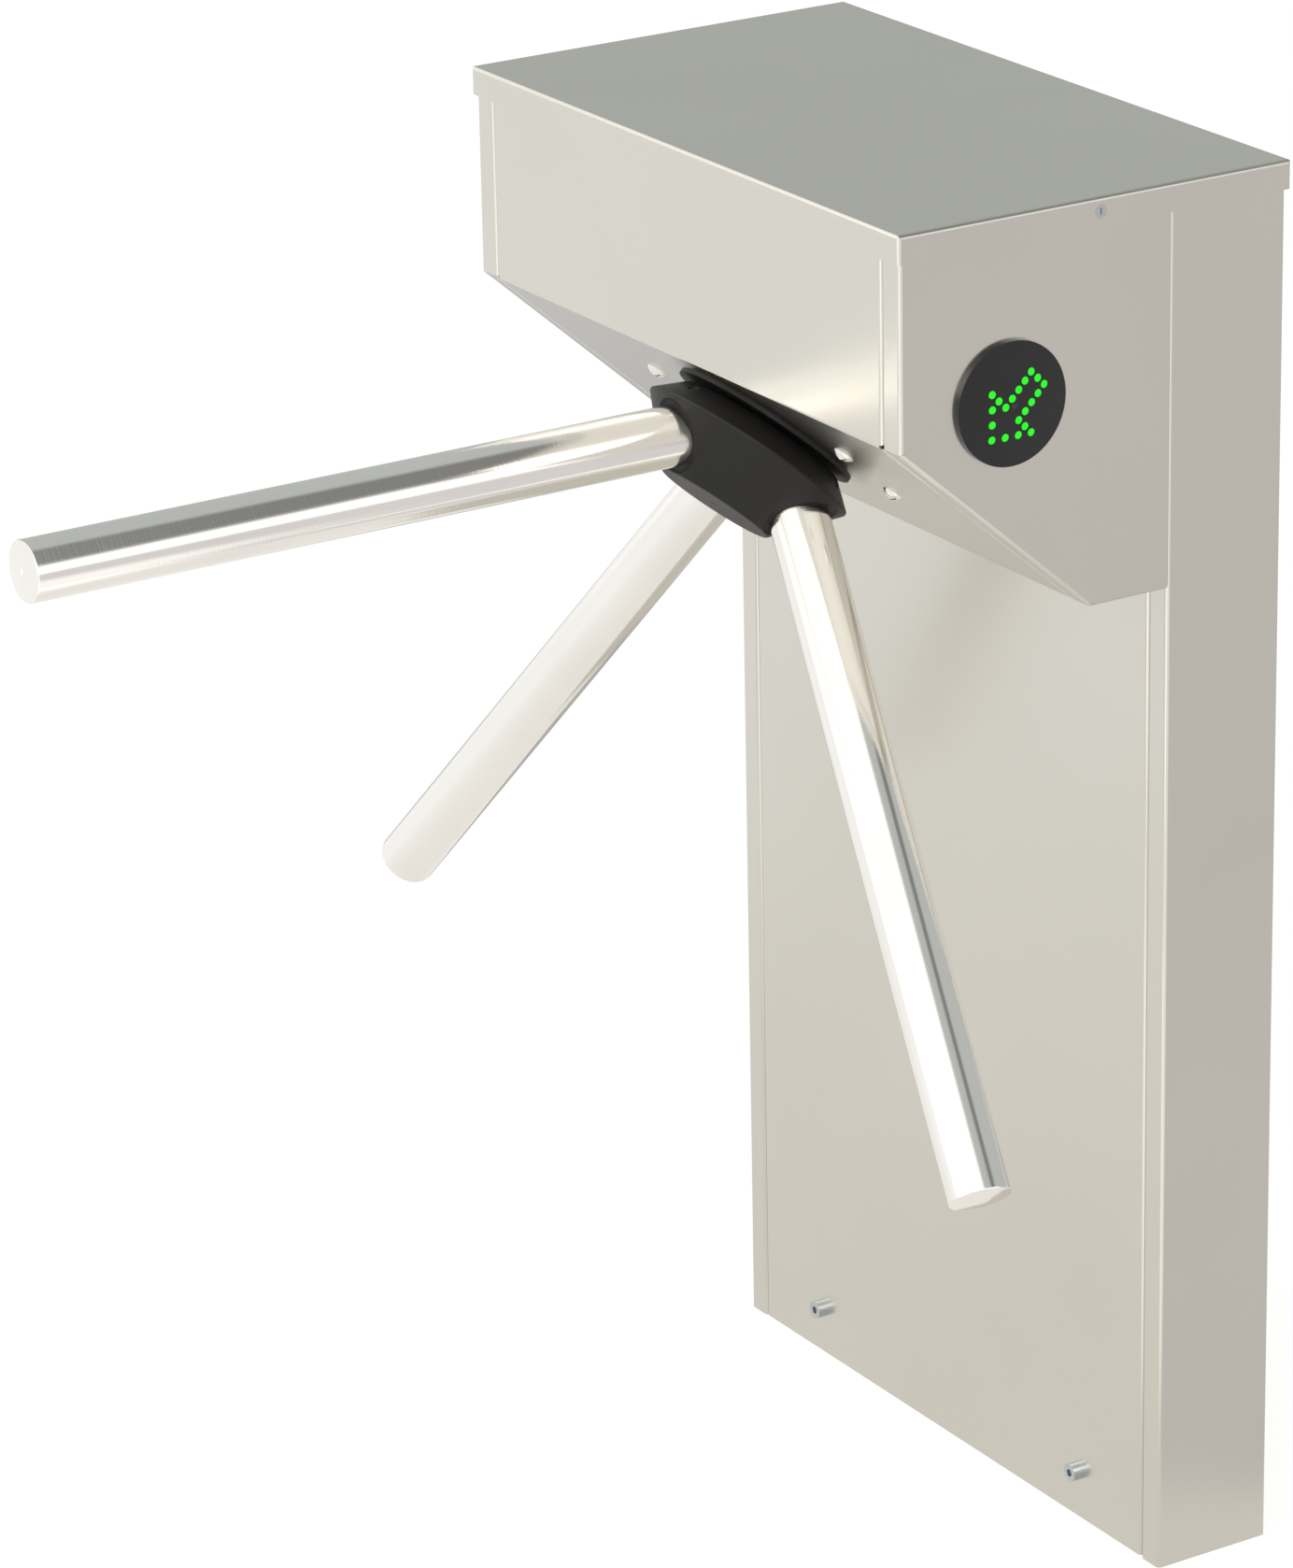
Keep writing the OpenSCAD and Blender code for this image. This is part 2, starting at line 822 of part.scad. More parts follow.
// Frame of the mechanism
module panel_screw_places() {
    for (side = [-1, 1], v = [panel_screw_up, -panel_screw_down])
        at_axis(side * panel_screw_x, v, 0) children();
}

module housing_screw_places(w) {
    for (i = [0 : housing_screw_count - 1])
        at_axis(w = w) rotate([0, 0, 45 + i * 360 / housing_screw_count])
            translate([housing_r + flange_extra_r / 2, 0, 0]) children();
}

module frame_side_outline() {
    tail_z = frame_top_z - frame_tail_h;
    difference() {
        polygon([
            slant_point(plate_front_w, frame_plate_half_v),
            slant_point(plate_front_w, -frame_plate_half_v),
            [post_front_y, tail_z - sheet_t],
            [upright_front_y, tail_z],
            [back_in_y, tail_z],
            [back_in_y, frame_top_z],
            [upright_front_y, frame_top_z],
            slant_point(deck_back_w, deck_high_v),
            slant_point(housing_back_w, deck_high_v)
        ]);
        translate(slant_point((plate_back_w + housing_back_w) / 2, 0)) circle(frame_window_r);
    }
}

module mechanism_frame() {
    color(dark_steel) difference() {
        union() {
            at_axis(-frame_half_w, -frame_plate_half_v, plate_back_w)
                cube([2 * frame_half_w, 2 * frame_plate_half_v, frame_plate_t]);
            mirrored() across(frame_in_x, frame_half_w) frame_side_outline();
        }
        at_axis(w = plate_back_w - overrun)
            cylinder(r = bearing_d / 2 - shoulder_t, h = frame_plate_t + 2 * overrun);
        panel_screw_places() translate([0, 0, plate_back_w - overrun])
            cylinder(d = slot_shank_d + 2 * fixed_gap, h = frame_plate_t + 2 * overrun);
        housing_screw_places(plate_back_w - overrun)
            cylinder(d = housing_screw_d + 2 * fixed_gap, h = frame_plate_t + 2 * overrun);
        mirrored() frame_bolt_places() translate([0, 0, -frame_side_t - overrun])
            cylinder(d = frame_bolt_d + 2 * bolt_gap, h = frame_side_t + 2 * overrun);
    }
}

module mechanism_deck() {
    color(dark_steel) difference() {
        at_axis(-frame_in_x + fixed_gap, deck_low_v, deck_back_w)
            cube([2 * (frame_in_x - fixed_gap), deck_high_v - deck_low_v, deck_t]);
        at_axis(w = deck_back_w - overrun)
            cylinder(r = shaft_d / 2 + spacer_wall + 3 * shaft_hole_gap, h = deck_t + 2 * overrun);
    }
}

module panel_screws() {
    head_r = slot_head_d / 2;
    ball_r = (head_r * head_r + slot_head_h * slot_head_h) / (2 * slot_head_h);
    color(zinc) panel_screw_places() difference() {
        union() {
            intersection() {
                translate([0, 0, slot_head_h - ball_r]) sphere(ball_r);
                cylinder(r = head_r, h = slot_head_h + overrun);
            }
            translate([0, 0, plate_back_w]) cylinder(d = slot_shank_d, h = -plate_back_w + slot_head_h / 4);
        }
        translate([-head_r - overrun, -slot_w / 2, slot_head_h - slot_depth])
            cube([slot_head_d + 2 * overrun, slot_w, slot_depth + overrun]);
    }
}

module frame_bolts() {
    color(zinc) mirrored() frame_bolt_places() {
        translate([0, 0, -frame_side_t - frame_bolt_head_t])
            cylinder(d = 2 * frame_bolt_d, h = frame_bolt_head_t, $fn = 6);
        translate([0, 0, -frame_side_t - frame_bolt_head_t])
            cylinder(d = frame_bolt_d, h = frame_bolt_head_t + frame_bolt_len);
    }
}

// Bearings and shaft
module bearing_housing() {
    flange_r = housing_r + flange_extra_r;
    color(alloy) difference() {
        union() {
            at_axis(w = housing_back_w) cylinder(r = housing_r, h = housing_len);
            at_axis(w = plate_back_w - flange_t) cylinder(r = flange_r, h = flange_t);
            for (i = [0 : housing_screw_count - 1])
                at_axis(w = plate_back_w - flange_t) rotate([90, 0, i * 360 / housing_screw_count])
                    translate([0, 0, -housing_rib_t / 2]) linear_extrude(housing_rib_t) polygon([
                        [housing_r - overrun, overrun],
                        [flange_r - overrun, overrun],
                        [flange_r - overrun, 0],
                        [housing_r, -2 * flange_extra_r],
                        [housing_r - overrun, -2 * flange_extra_r]
                    ]);
        }
        at_axis(w = housing_back_w - overrun)
            cylinder(r = bearing_d / 2 - shoulder_t, h = housing_len + 2 * overrun);
        at_axis(w = plate_back_w - bearing_w)
            cylinder(r = bearing_d / 2 + fixed_gap, h = bearing_w + overrun);
        at_axis(w = housing_back_w - overrun)
            cylinder(r = bearing_d / 2 + fixed_gap, h = bearing_w + overrun);
        housing_screw_places(plate_back_w - flange_t - overrun)
            cylinder(d = housing_screw_d + 2 * bolt_gap, h = flange_t + 2 * overrun);
    }
}

module housing_screws() {
    color(zinc) housing_screw_places(plate_back_w - flange_t - housing_screw_head_h) difference() {
        union() {
            cylinder(d = housing_screw_head_d, h = housing_screw_head_h);
            cylinder(d = housing_screw_d, h = housing_screw_head_h + flange_t + frame_plate_t - seat_gap);
        }
        translate([0, 0, -overrun])
            cylinder(d = housing_screw_d * 3 / 4, h = housing_screw_head_h / 2 + overrun, $fn = 6);
    }
}

module bearing_places() {
    for (w = [plate_back_w - bearing_w, housing_back_w]) at_axis(w = w) children();
}

module ball_groove() {
    translate([0, 0, bearing_w / 2]) rotate_extrude()
        translate([ball_pitch_r, 0]) circle(ball_d / 2 + running_gap);
}

module bearing_outer_rings() {
    color(zinc) bearing_places() difference() {
        ring(bearing_d / 2, outer_ring_r, bearing_w);
        ball_groove();
    }
}

module bearing_inner_rings() {
    color(zinc) bearing_places() difference() {
        ring(inner_ring_r, shaft_d / 2 + fixed_gap, bearing_w);
        ball_groove();
    }
}

module bearing_balls() {
    color(polished) bearing_places() for (i = [0 : ball_count - 1])
        rotate([0, 0, i * 360 / ball_count])
            translate([ball_pitch_r, 0, bearing_w / 2]) sphere(d = ball_d);
}

module spacer(low_w, high_w) {
    at_axis(w = low_w) ring(shaft_d / 2 + spacer_wall, shaft_d / 2 + fixed_gap, high_w - low_w);
}

module shaft_spacers() {
    color(dark_steel) {
        spacer(housing_back_w + bearing_w, plate_back_w - bearing_w);
        spacer(lock_w + lock_t, housing_back_w);
        spacer(cam_w + cam_t, lock_w);
        spacer(gear_w + gear_t, cam_w);
        spacer(sensor_w + sensor_t, gear_w);
    }
}

// Keys under the lock disc, the index cam and the main gear
module keys(gap) {
    for (seat = [[lock_w, lock_t], [cam_w, cam_t], [gear_w, gear_t]])
        translate([-key_w / 2 - gap, shaft_d / 2 - key_depth - gap, seat[0]])
            cube([key_w + 2 * gap, key_h + 2 * gap, seat[1]]);
}

module main_shaft() {
    front_w = collar_front_w + hub_seat_len;
    color(zinc) at_axis() difference() {
        union() {
            translate([0, 0, sensor_w]) cylinder(d = shaft_d, h = front_w - sensor_w);
            translate([0, 0, plate_back_w]) cylinder(d = collar_d, h = collar_front_w - plate_back_w);
            translate([0, 0, sensor_w - stub_len]) cylinder(d = stub_d, h = stub_len + overrun);
        }
        translate([0, 0, front_w - hub_bolt_len])
            cylinder(d = hub_bolt_d + 2 * fixed_gap, h = hub_bolt_len + overrun);
        keys(fixed_gap);
    }
}

module drive_keys() {
    color(brass) at_axis() keys(0);
}

module shaft_nut() {
    color(zinc) at_axis(w = sensor_w - nut_t) difference() {
        cylinder(d = nut_af / cos(30), h = nut_t, $fn = 6);
        translate([0, 0, -overrun]) cylinder(d = stub_d + 2 * fixed_gap, h = nut_t + 2 * overrun);
    }
}

// Hub and arms
module shield_disc() {
    color(black) at_axis() ring(shield_r, collar_d / 2 + shaft_hole_gap, shield_t);
}

module hub_profile() {
    rim_top_w = hub_rim_w + rim_band;
    face_r = hub_rim_r - (hub_face_w - rim_top_w) / tan(arm_angle);
    rounded([
        [0, hub_back_w],
        [hub_back_r, hub_back_w],
        [hub_rim_r, hub_rim_w],
        [hub_rim_r, rim_top_w],
        [face_r, hub_face_w],
        [0, hub_face_w]
    ], [0, hub_edge_r, rim_band / 4, rim_band / 4, hub_edge_r, 0]);
}

// Tool that sinks an arm's socket and the scoop round it
module arm_seat() {
    rim_top_w = hub_rim_w + rim_band;
    flank_t = hub_rim_r * sin(arm_angle) + (rim_top_w + apex_depth) * cos(arm_angle);
    floor_t = flank_t - scoop_d;
    translate([0, 0, arm_root_t]) cylinder(d = arm_d + 2 * fixed_gap, h = hub_rim_r);
    translate([0, 0, floor_t]) rotate_extrude() {
        square([scoop_r - scoop_fillet_r, hub_rim_r]);
        translate([0, scoop_fillet_r]) square([scoop_r, hub_rim_r - scoop_fillet_r]);
        translate([scoop_r - scoop_fillet_r, scoop_fillet_r]) circle(scoop_fillet_r);
    }
}

module set_screw_place() {
    translate([set_screw_in, 0, arm_root_t + set_screw_at]) rotate([0, 90, 0]) children();
}

module hub() {
    color(black) difference() {
        at_axis() rotate_extrude() hub_profile();
        for (turn = arm_turns) at_arm(turn) {
            arm_seat();
            set_screw_place() cylinder(d = set_screw_d + 2 * fixed_gap, h = hub_rim_r);
        }
        at_axis(w = hub_back_w - overrun)
            cylinder(d = shaft_d + 2 * fixed_gap, h = collar_front_w + hub_seat_len);
        at_axis(w = hub_back_w - overrun)
            cylinder(d = collar_d + 2 * fixed_gap, h = collar_front_w - hub_back_w + overrun);
        at_axis(w = collar_front_w + hub_seat_len)
            cylinder(d = hub_pocket_d, h = hub_face_w);
    }
}

module hub_bolt() {
    low_w = collar_front_w + hub_seat_len;
    color(zinc) at_axis(w = low_w) difference() {
        union() {
            translate([0, 0, -hub_bolt_len + overrun]) cylinder(d = hub_bolt_d, h = hub_bolt_len);
            cylinder(d = hub_bolt_head_d, h = hub_bolt_head_h);
            cylinder(d = hub_pocket_d - 2 * bolt_gap, h = hub_bolt_head_h / 3);
        }
        translate([0, 0, hub_bolt_head_h / 2])
            cylinder(d = hub_bolt_head_d / 2, h = hub_bolt_head_h, $fn = 6);
    }
}

module hub_cap() {
    color(black) at_axis(w = hub_face_w - hub_cap_t) difference() {
        union() {
            cylinder(d = hub_pocket_d - 2 * fixed_gap, h = hub_cap_t);
            translate([0, 0, -hub_cap_t])
                ring(hub_pocket_d / 2 - fixed_gap, hub_bolt_head_d / 2 + overrun, hub_cap_t);
        }
        translate([-hub_cap_slot_len / 2, -hub_cap_slot_w / 2, hub_cap_t / 2])
            cube([hub_cap_slot_len, hub_cap_slot_w, hub_cap_t]);
    }
}

module arm(turn) {
    end_t = arm_reach - cap_dome - cap_rim_t;
    color(polished) at_arm(turn) difference() {
        translate([0, 0, arm_root_t]) cylinder(d = arm_d, h = end_t - arm_root_t);
        translate([0, 0, arm_root_t - overrun])
            cylinder(d = arm_d - 2 * arm_wall, h = end_t - arm_root_t + 2 * overrun);
        set_screw_place() cylinder(d = set_screw_d + 2 * fixed_gap, h = arm_d);
    }
}

module level_arm() {
    arm(arm_turns[0]);
}

module left_arm() {
    arm(arm_turns[1]);
}

module right_arm() {
    arm(arm_turns[2]);
}

module cap_profile() {
    r = arm_d / 2;
    dome_r = (r * r + cap_dome * cap_dome) / (2 * cap_dome);
    intersection() {
        union() {
            rounded([[0, 0], [r, 0], [r, cap_rim_t + cap_edge_r / 2], [0, cap_rim_t + cap_edge_r / 2]],
                [0, 0, cap_edge_r, 0]);
            square([r - cap_edge_r, cap_rim_t + cap_dome]);
        }
        translate([0, cap_rim_t + cap_dome - dome_r]) circle(dome_r, $fn = 360);
    }
    translate([0, -cap_spigot_len]) square([r - arm_wall - fixed_gap, cap_spigot_len]);
}

module arm_end_caps() {
    color(polished) for (turn = arm_turns) at_arm(turn)
        translate([0, 0, arm_reach - cap_dome - cap_rim_t]) rotate_extrude() cap_profile();
}

module arm_root_plugs() {
    color(zinc) for (turn = arm_turns) at_arm(turn) difference() {
        translate([0, 0, arm_root_t])
            cylinder(d = arm_d - 2 * arm_wall - 2 * fixed_gap, h = root_plug_len);
        set_screw_place() cylinder(d = set_screw_d + 2 * fixed_gap, h = arm_d);
    }
}

module arm_set_screws() {
    color(zinc) for (turn = arm_turns) at_arm(turn) set_screw_place() difference() {
        cylinder(d = set_screw_d, h = set_screw_len);
        translate([0, 0, set_screw_len - set_socket_depth])
            cylinder(d = set_socket_d, h = set_socket_depth + overrun, $fn = 6);
    }
}

// Locking
module keyed_bore(h) {
    translate([0, 0, -overrun]) linear_extrude(h + 2 * overrun) {
        circle(d = shaft_d + 2 * fixed_gap);
        translate([-key_w / 2 - fixed_gap, 0])
            square([key_w + 2 * fixed_gap, shaft_d / 2 - key_depth + key_h + 2 * fixed_gap]);
    }
}

module lock_disc() {
    color(dark_steel) at_axis(w = lock_w) difference() {
        cylinder(r = lock_r, h = lock_t);
        keyed_bore(lock_t);
        for (i = [0 : lock_notches - 1]) rotate([0, 0, i * 360 / lock_notches])
            translate([lock_r - notch_d, -pawl_nose_w / 2 - notch_gap, -overrun])
                cube([lock_r, pawl_nose_w + 2 * notch_gap, lock_t + 2 * overrun]);
    }
}

module pawl_outline() {
    way = unit(pawl_tail - pawl_pivot);
    side = [way[1], -way[0]] * pawl_arm_w / 2;
    nose_u = pawl_pivot[0] - pawl_pivot[1] * way[0] / way[1];
    difference() {
        union() {
            translate(pawl_pivot) circle(pawl_boss_r);
            translate(pawl_tail) circle(pawl_tail_r);
            polygon([pawl_pivot + side, pawl_tail + side, pawl_tail - side, pawl_pivot - side]);
            translate([lock_r + pawl_clear, -pawl_nose_w / 2])
                square([nose_u - lock_r - pawl_clear, pawl_nose_w]);
        }
        translate(pawl_pivot) circle(pin_r + running_gap);
        translate(pawl_tail) union() {
            for (end = [-1, 1]) translate([0, end * link_slot_len / 2]) circle(link_pin_r + link_gap);
            square([2 * (link_pin_r + link_gap), link_slot_len], center = true);
        }
    }
}

module right_pawl() {
    color(zinc) at_axis(w = lock_w) linear_extrude(lock_t) pawl_outline();
}

module left_pawl() {
    mirror([1, 0, 0]) right_pawl();
}

module standing_pin(seat_w, end_w) {
    translate([0, 0, seat_w + pin_side_gap])
        cylinder(r = pin_collar_r, h = deck_back_w - seat_w - pin_side_gap);
    translate([0, 0, end_w]) cylinder(r = pin_r, h = seat_w - end_w + overrun);
}

module pivot_pins() {
    color(polished) {
        for (side = [-1, 1]) at_axis(side * pawl_pivot[0], pawl_pivot[1], 0)
            standing_pin(lock_w + lock_t, lock_w - pin_spare);
        at_axis(lever_pivot[0], lever_pivot[1], 0) standing_pin(lever_high_w, lever_low_w - pin_spare);
    }
}

module solenoid() {
    middle_w = lock_w + lock_t / 2;
    depth = deck_back_w - middle_w;
    color(alloy) at_axis(solenoid_from, pawl_tail[1], middle_w) difference() {
        translate([0, -solenoid_half_v, -depth]) cube([solenoid_len, 2 * solenoid_half_v, 2 * depth]);
        rotate([0, 90, 0]) translate([0, 0, -overrun])
            cylinder(r = plunger_r + solenoid_gap, h = plunger_depth + 2 * overrun);
    }
}

module lock_solenoids() {
    mirrored() solenoid();
}

module right_plunger() {
    middle_w = lock_w + lock_t / 2;
    fork_h = lock_t + 2 * pin_side_gap;
    neck_u = pawl_tail[0] + pawl_tail_r + overrun;
    color(zinc) at_axis(0, pawl_tail[1], middle_w) {
        translate([neck_u, 0, 0]) rotate([0, 90, 0])
            cylinder(r = plunger_r, h = solenoid_from + plunger_depth - neck_u - overrun);
        for (side = [-1, 1]) translate([0, 0, side * (fork_h + prong_t) / 2]) {
            translate([pawl_tail[0], 0, -prong_t / 2]) cylinder(r = fork_end_r, h = prong_t);
            translate([pawl_tail[0], -fork_end_r, -prong_t / 2])
                cube([neck_u + fork_neck - pawl_tail[0], 2 * fork_end_r, prong_t]);
        }
        fork_out_h = fork_h + 2 * prong_t;
        translate([neck_u, -fork_end_r, -fork_out_h / 2]) cube([fork_neck, 2 * fork_end_r, fork_out_h]);
        translate([pawl_tail[0], 0, -fork_out_h / 2]) cylinder(r = link_pin_r, h = fork_out_h);
    }
}

module left_plunger() {
    mirror([1, 0, 0]) right_plunger();
}

// Centring
module index_cam() {
    valley_at = cam_r - valley_d + valley_r;
    color(zinc) at_axis(w = cam_w) difference() {
        cylinder(r = cam_r, h = cam_t);
        keyed_bore(cam_t);
        for (turn = arm_turns) rotate([0, 0, turn]) translate([valley_at, 0, -overrun])
            cylinder(r = valley_r, h = cam_t + 2 * overrun, $fn = 128);
    }
}

module lever_bar(from, to, w) {
    side = [unit(to - from)[1], -unit(to - from)[0]] * (w / 2 - fold_ease);
    polygon([from + side, to + side, to - side, from - side]);
}

module centring_lever() {
    pad = [lever_pad_u, lever_pad_v];
    color(dark_steel) at_axis(w = lever_low_w) {
        linear_extrude(lever_t) difference() {
            union() {
                for (p = [lever_pivot, roller_at]) translate(p) circle(lever_w / 2);
                translate(pad) circle(pad_end_w / 2);
                lever_bar(lever_pivot, roller_at, lever_w);
                lever_bar(roller_at, pad, pad_end_w);
            }
            translate(lever_pivot) circle(pin_r + running_gap);
            translate(roller_at) circle(pin_r + fixed_gap);
        }
        translate([lever_pad_u, lever_pad_v + lever_w / 2 - pad_t, lever_t / 2])
            rotate([-90, 0, 0]) cylinder(r = pad_r, h = pad_t);
    }
}

module centring_roller() {
    color(polished) at_axis(roller_at[0], roller_at[1], cam_w + roller_rim_gap)
        ring(roller_r, pin_r + running_gap, cam_t - 2 * roller_rim_gap);
}

module roller_pin() {
    low_w = cam_w;
    color(zinc) at_axis(roller_at[0], roller_at[1], 0) {
        translate([0, 0, low_w]) cylinder(r = pin_r, h = lever_high_w - low_w);
        translate([0, 0, low_w - pin_spare]) cylinder(r = pin_r + pin_spare, h = pin_spare);
    }
}

// Tube swept along a helix with closed, flat ends
function helix_ring(i) = let (
    steps = spring_turns * spring_rings,
    turn = 360 * i / spring_rings,
    lift = spring_wire_d / 2 + (spring_len - spring_wire_d) * i / steps
) [
    for (k = [0 : spring_sides - 1]) let (
        a = 360 * k / spring_sides,
        r = spring_r - spring_wire_d / 2 + spring_wire_d / 2 * cos(a)
    ) [r * cos(turn), r * sin(turn), lift + spring_wire_d / 2 * sin(a)]
];

module centring_spring() {
    last = spring_turns * spring_rings;
    points = [for (i = [0 : last]) each helix_ring(i)];
    walls = [
        for (i = [0 : last - 1], k = [0 : spring_sides - 1]) let (
            a = i * spring_sides + k,
            b = i * spring_sides + (k + 1) % spring_sides
        ) each [[a, a + spring_sides, b], [b, a + spring_sides, b + spring_sides]]
    ];
    first_end = [for (k = [1 : spring_sides - 2]) [0, k, k + 1]];
    end_at = last * spring_sides;
    last_end = [for (k = [1 : spring_sides - 2]) [end_at, end_at + k + 1, end_at + k]];
    color(polished) at_axis(lever_pad_u, spring_low_v, lever_low_w + lever_t / 2)
        rotate([-90, 0, 0]) polyhedron(points, concat(walls, first_end, last_end));
}

module spring_bracket() {
    low_v = spring_low_v + spring_len + seat_gap;
    color(dark_steel) {
        at_axis(lever_pad_u - bracket_half_w, low_v, deck_back_w - bracket_reach)
            cube([2 * bracket_half_w, bracket_plate_t, bracket_reach]);
        at_axis(lever_pad_u - bracket_half_w, low_v, deck_back_w - bracket_plate_t)
            cube([2 * bracket_half_w, bracket_foot_v, bracket_plate_t]);
    }
}

// Damper and gears
function involute(r, base_r) = tan(acos(base_r / r)) * 180 / PI - acos(base_r / r);

function tooth_side(teeth, outer_r, root_r) = let (
    pitch_r = gear_module * teeth / 2,
    base_r = pitch_r * cos(gear_angle),
    start_r = max(base_r, root_r),
    half = 90 / teeth - gear_backlash / 2 / pitch_r * 180 / PI + involute(pitch_r, base_r)
) concat(
    [[root_r, half - involute(start_r, base_r)]],
    [for (i = [0 : flank_steps]) let (r = start_r + (outer_r - start_r) * i / flank_steps)
        [r, half - involute(r, base_r)]]
);

module gear_outline(teeth) {
    pitch_r = gear_module * teeth / 2;
    side = tooth_side(teeth, pitch_r + gear_module * addendum_share, pitch_r - gear_module * dedendum_share);
    last = len(side) - 1;
    polygon([
        for (t = [0 : teeth - 1]) let (middle = 360 * t / teeth) each concat(
            [for (p = side) p[0] * [cos(middle - p[1]), sin(middle - p[1])]],
            [for (i = [last : -1 : 0]) side[i][0] * [cos(middle + side[i][1]), sin(middle + side[i][1])]]
        )
    ]);
}

module main_gear() {
    color(brass) at_axis(w = gear_w) difference() {
        linear_extrude(gear_t) gear_outline(gear_teeth);
        keyed_bore(gear_t);
        for (i = [0 : gear_windows - 1]) rotate([0, 0, i * 360 / gear_windows])
            translate([gear_window_at, 0, -overrun]) cylinder(r = gear_window_r, h = gear_t + 2 * overrun);
    }
}

damper_low_w = cam_w + overrun;

module damper_body() {
    color(black) at_axis(0, damper_v, damper_low_w) difference() {
        union() {
            cylinder(r = damper_r - damper_cap, h = deck_back_w - damper_low_w);
            translate([0, 0, damper_cap]) cylinder(r = damper_r, h = deck_back_w - damper_low_w - damper_cap);
        }
        translate([0, 0, -overrun]) cylinder(r = damper_shaft_r + running_gap, h = 2 * damper_shaft_in);
    }
}

module damper_pinion() {
    low_w = gear_w - pinion_extra;
    color(brass) at_axis(0, damper_v, low_w) {
        rotate([0, 0, 90 + 180 / pinion_teeth])
            linear_extrude(gear_t + 2 * pinion_extra) gear_outline(pinion_teeth);
        cylinder(r = damper_shaft_r, h = damper_low_w + damper_shaft_in - low_w);
    }
}

// Sensor and boards
module sensor_disc() {
    color(black) at_axis(w = sensor_w) difference() {
        cylinder(r = sensor_r, h = sensor_t);
        translate([0, 0, -overrun]) cylinder(d = shaft_d + 2 * fixed_gap, h = sensor_t + 2 * overrun);
        for (i = [0 : sensor_slots - 1]) rotate([0, 0, i * 360 / sensor_slots])
            translate([sensor_r - sensor_slot_d, -sensor_slot_w / 2, -overrun])
                cube([sensor_slot_d + overrun, sensor_slot_w, sensor_t + 2 * overrun]);
    }
}

sensor_board_w = sensor_w - fork_gap - fork_leg_t - board_t;

module sensor_board() {
    fork_u = sensor_r - fork_overlap;
    fork_h = sensor_t + 2 * fork_gap + 2 * fork_leg_t;
    color(board_green) at_axis(fork_u, -sensor_board_half_v, sensor_board_w)
        cube([sensor_board_to - fork_u, 2 * sensor_board_half_v, board_t]);
    color(black) at_axis(fork_u, -fork_w / 2, sensor_board_w + board_t) difference() {
        cube([fork_overlap + fork_gap + fork_back_t, fork_w, fork_h]);
        translate([-overrun, -overrun, fork_leg_t])
            cube([overrun + fork_overlap + fork_gap, fork_w + 2 * overrun, fork_h - 2 * fork_leg_t]);
    }
}

module board_corners() {
    for (x = [-1, 1], z = [-1, 1])
        translate([0, back_in_y, board_low_z + board_h / 2])
            translate([x * (board_w / 2 - standoff_inset), 0, z * (board_h / 2 - standoff_inset)])
                rotate([90, 0, 0]) children();
}

module control_board() {
    face_y = back_in_y - standoff_len - board_t;
    color(board_green) translate([-board_w / 2, face_y, board_low_z]) cube([board_w, board_t, board_h]);
    color(black) {
        for (i = [0 : terminal_count - 1])
            translate([
                (i - (terminal_count - 1) / 2) * (terminal_w + part_gap / 2) - terminal_w / 2,
                face_y - terminal_d,
                board_low_z + part_gap / 2
            ]) cube([terminal_w, terminal_d, terminal_h]);
        for (i = [0 : relay_count - 1])
            translate([
                (i - (relay_count - 1) / 2) * (relay_size + 2 * part_gap) - relay_size / 2,
                face_y - relay_size,
                board_low_z + relay_row_at
            ]) cube(relay_size);
    }
}

module board_standoffs() {
    color(brass) {
        board_corners() cylinder(r = standoff_r, h = standoff_len);
        for (side = [-1, 1]) at_axis(pillar_u, side * pillar_v, sensor_board_w + board_t)
            cylinder(r = pillar_r, h = deck_back_w - sensor_board_w - board_t);
    }
}

// Direction indicators: their local Z points out of the right cheek
module at_lens() {
    translate([half_w, lens_y, lens_z]) rotate([90, 0, 90]) children();
}

module lens_dome(r, edge_t, rise) {
    ball_r = (r * r + rise * rise) / (2 * rise);
    rotate_extrude() intersection() {
        square([r, edge_t + rise]);
        translate([0, edge_t + rise - ball_r]) circle(ball_r, $fn = 720);
    }
}

module led_spots(r, low, high) {
    for (place = led_place_shares)
        translate([led_start_shares[0] + place[0], led_start_shares[1] + place[1]] * led_pitch)
            translate([0, 0, low]) cylinder(r = r, h = high - low, $fn = 24);
}

barrel_r = lens_d / 2 - lens_lip - seat_gap;
led_board_at = -barrel_len + led_board_gap;

module lens() {
    color(black) at_lens() difference() {
        union() {
            lens_dome(lens_d / 2, lens_edge_t, lens_rise);
            translate([0, 0, -barrel_len]) cylinder(r = barrel_r, h = barrel_len + lens_edge_t / 2);
        }
        translate([0, 0, -barrel_len - overrun])
            cylinder(r = barrel_r - barrel_wall, h = barrel_len + overrun + lens_edge_t - lens_front_t);
        led_spots(led_d / 2 + led_clear, -overrun, lens_edge_t + lens_rise + overrun);
    }
}

module right_indicator_lens() {
    lens();
}

module left_indicator_lens() {
    mirror([1, 0, 0]) lens();
}

module indicator_leds() {
    color(light_green) mirrored() at_lens() intersection() {
        led_spots(led_d / 2, led_board_at + board_t, lens_edge_t + lens_rise + overrun);
        translate([0, 0, led_board_at]) union() {
            cylinder(r = lens_d / 2, h = -led_board_at);
            translate([0, 0, -led_board_at]) lens_dome(lens_d / 2, lens_edge_t, lens_rise);
        }
    }
}

module indicator_boards() {
    color(board_green) mirrored() at_lens()
        translate([0, 0, led_board_at]) cylinder(r = barrel_r - barrel_wall - seat_gap, h = board_t);
}

module indicator_rings() {
    color(black) mirrored() at_lens() translate([0, 0, -sheet_t - lens_ring_t])
        ring(barrel_r + lens_ring_w, barrel_r + fixed_gap, lens_ring_t);
}

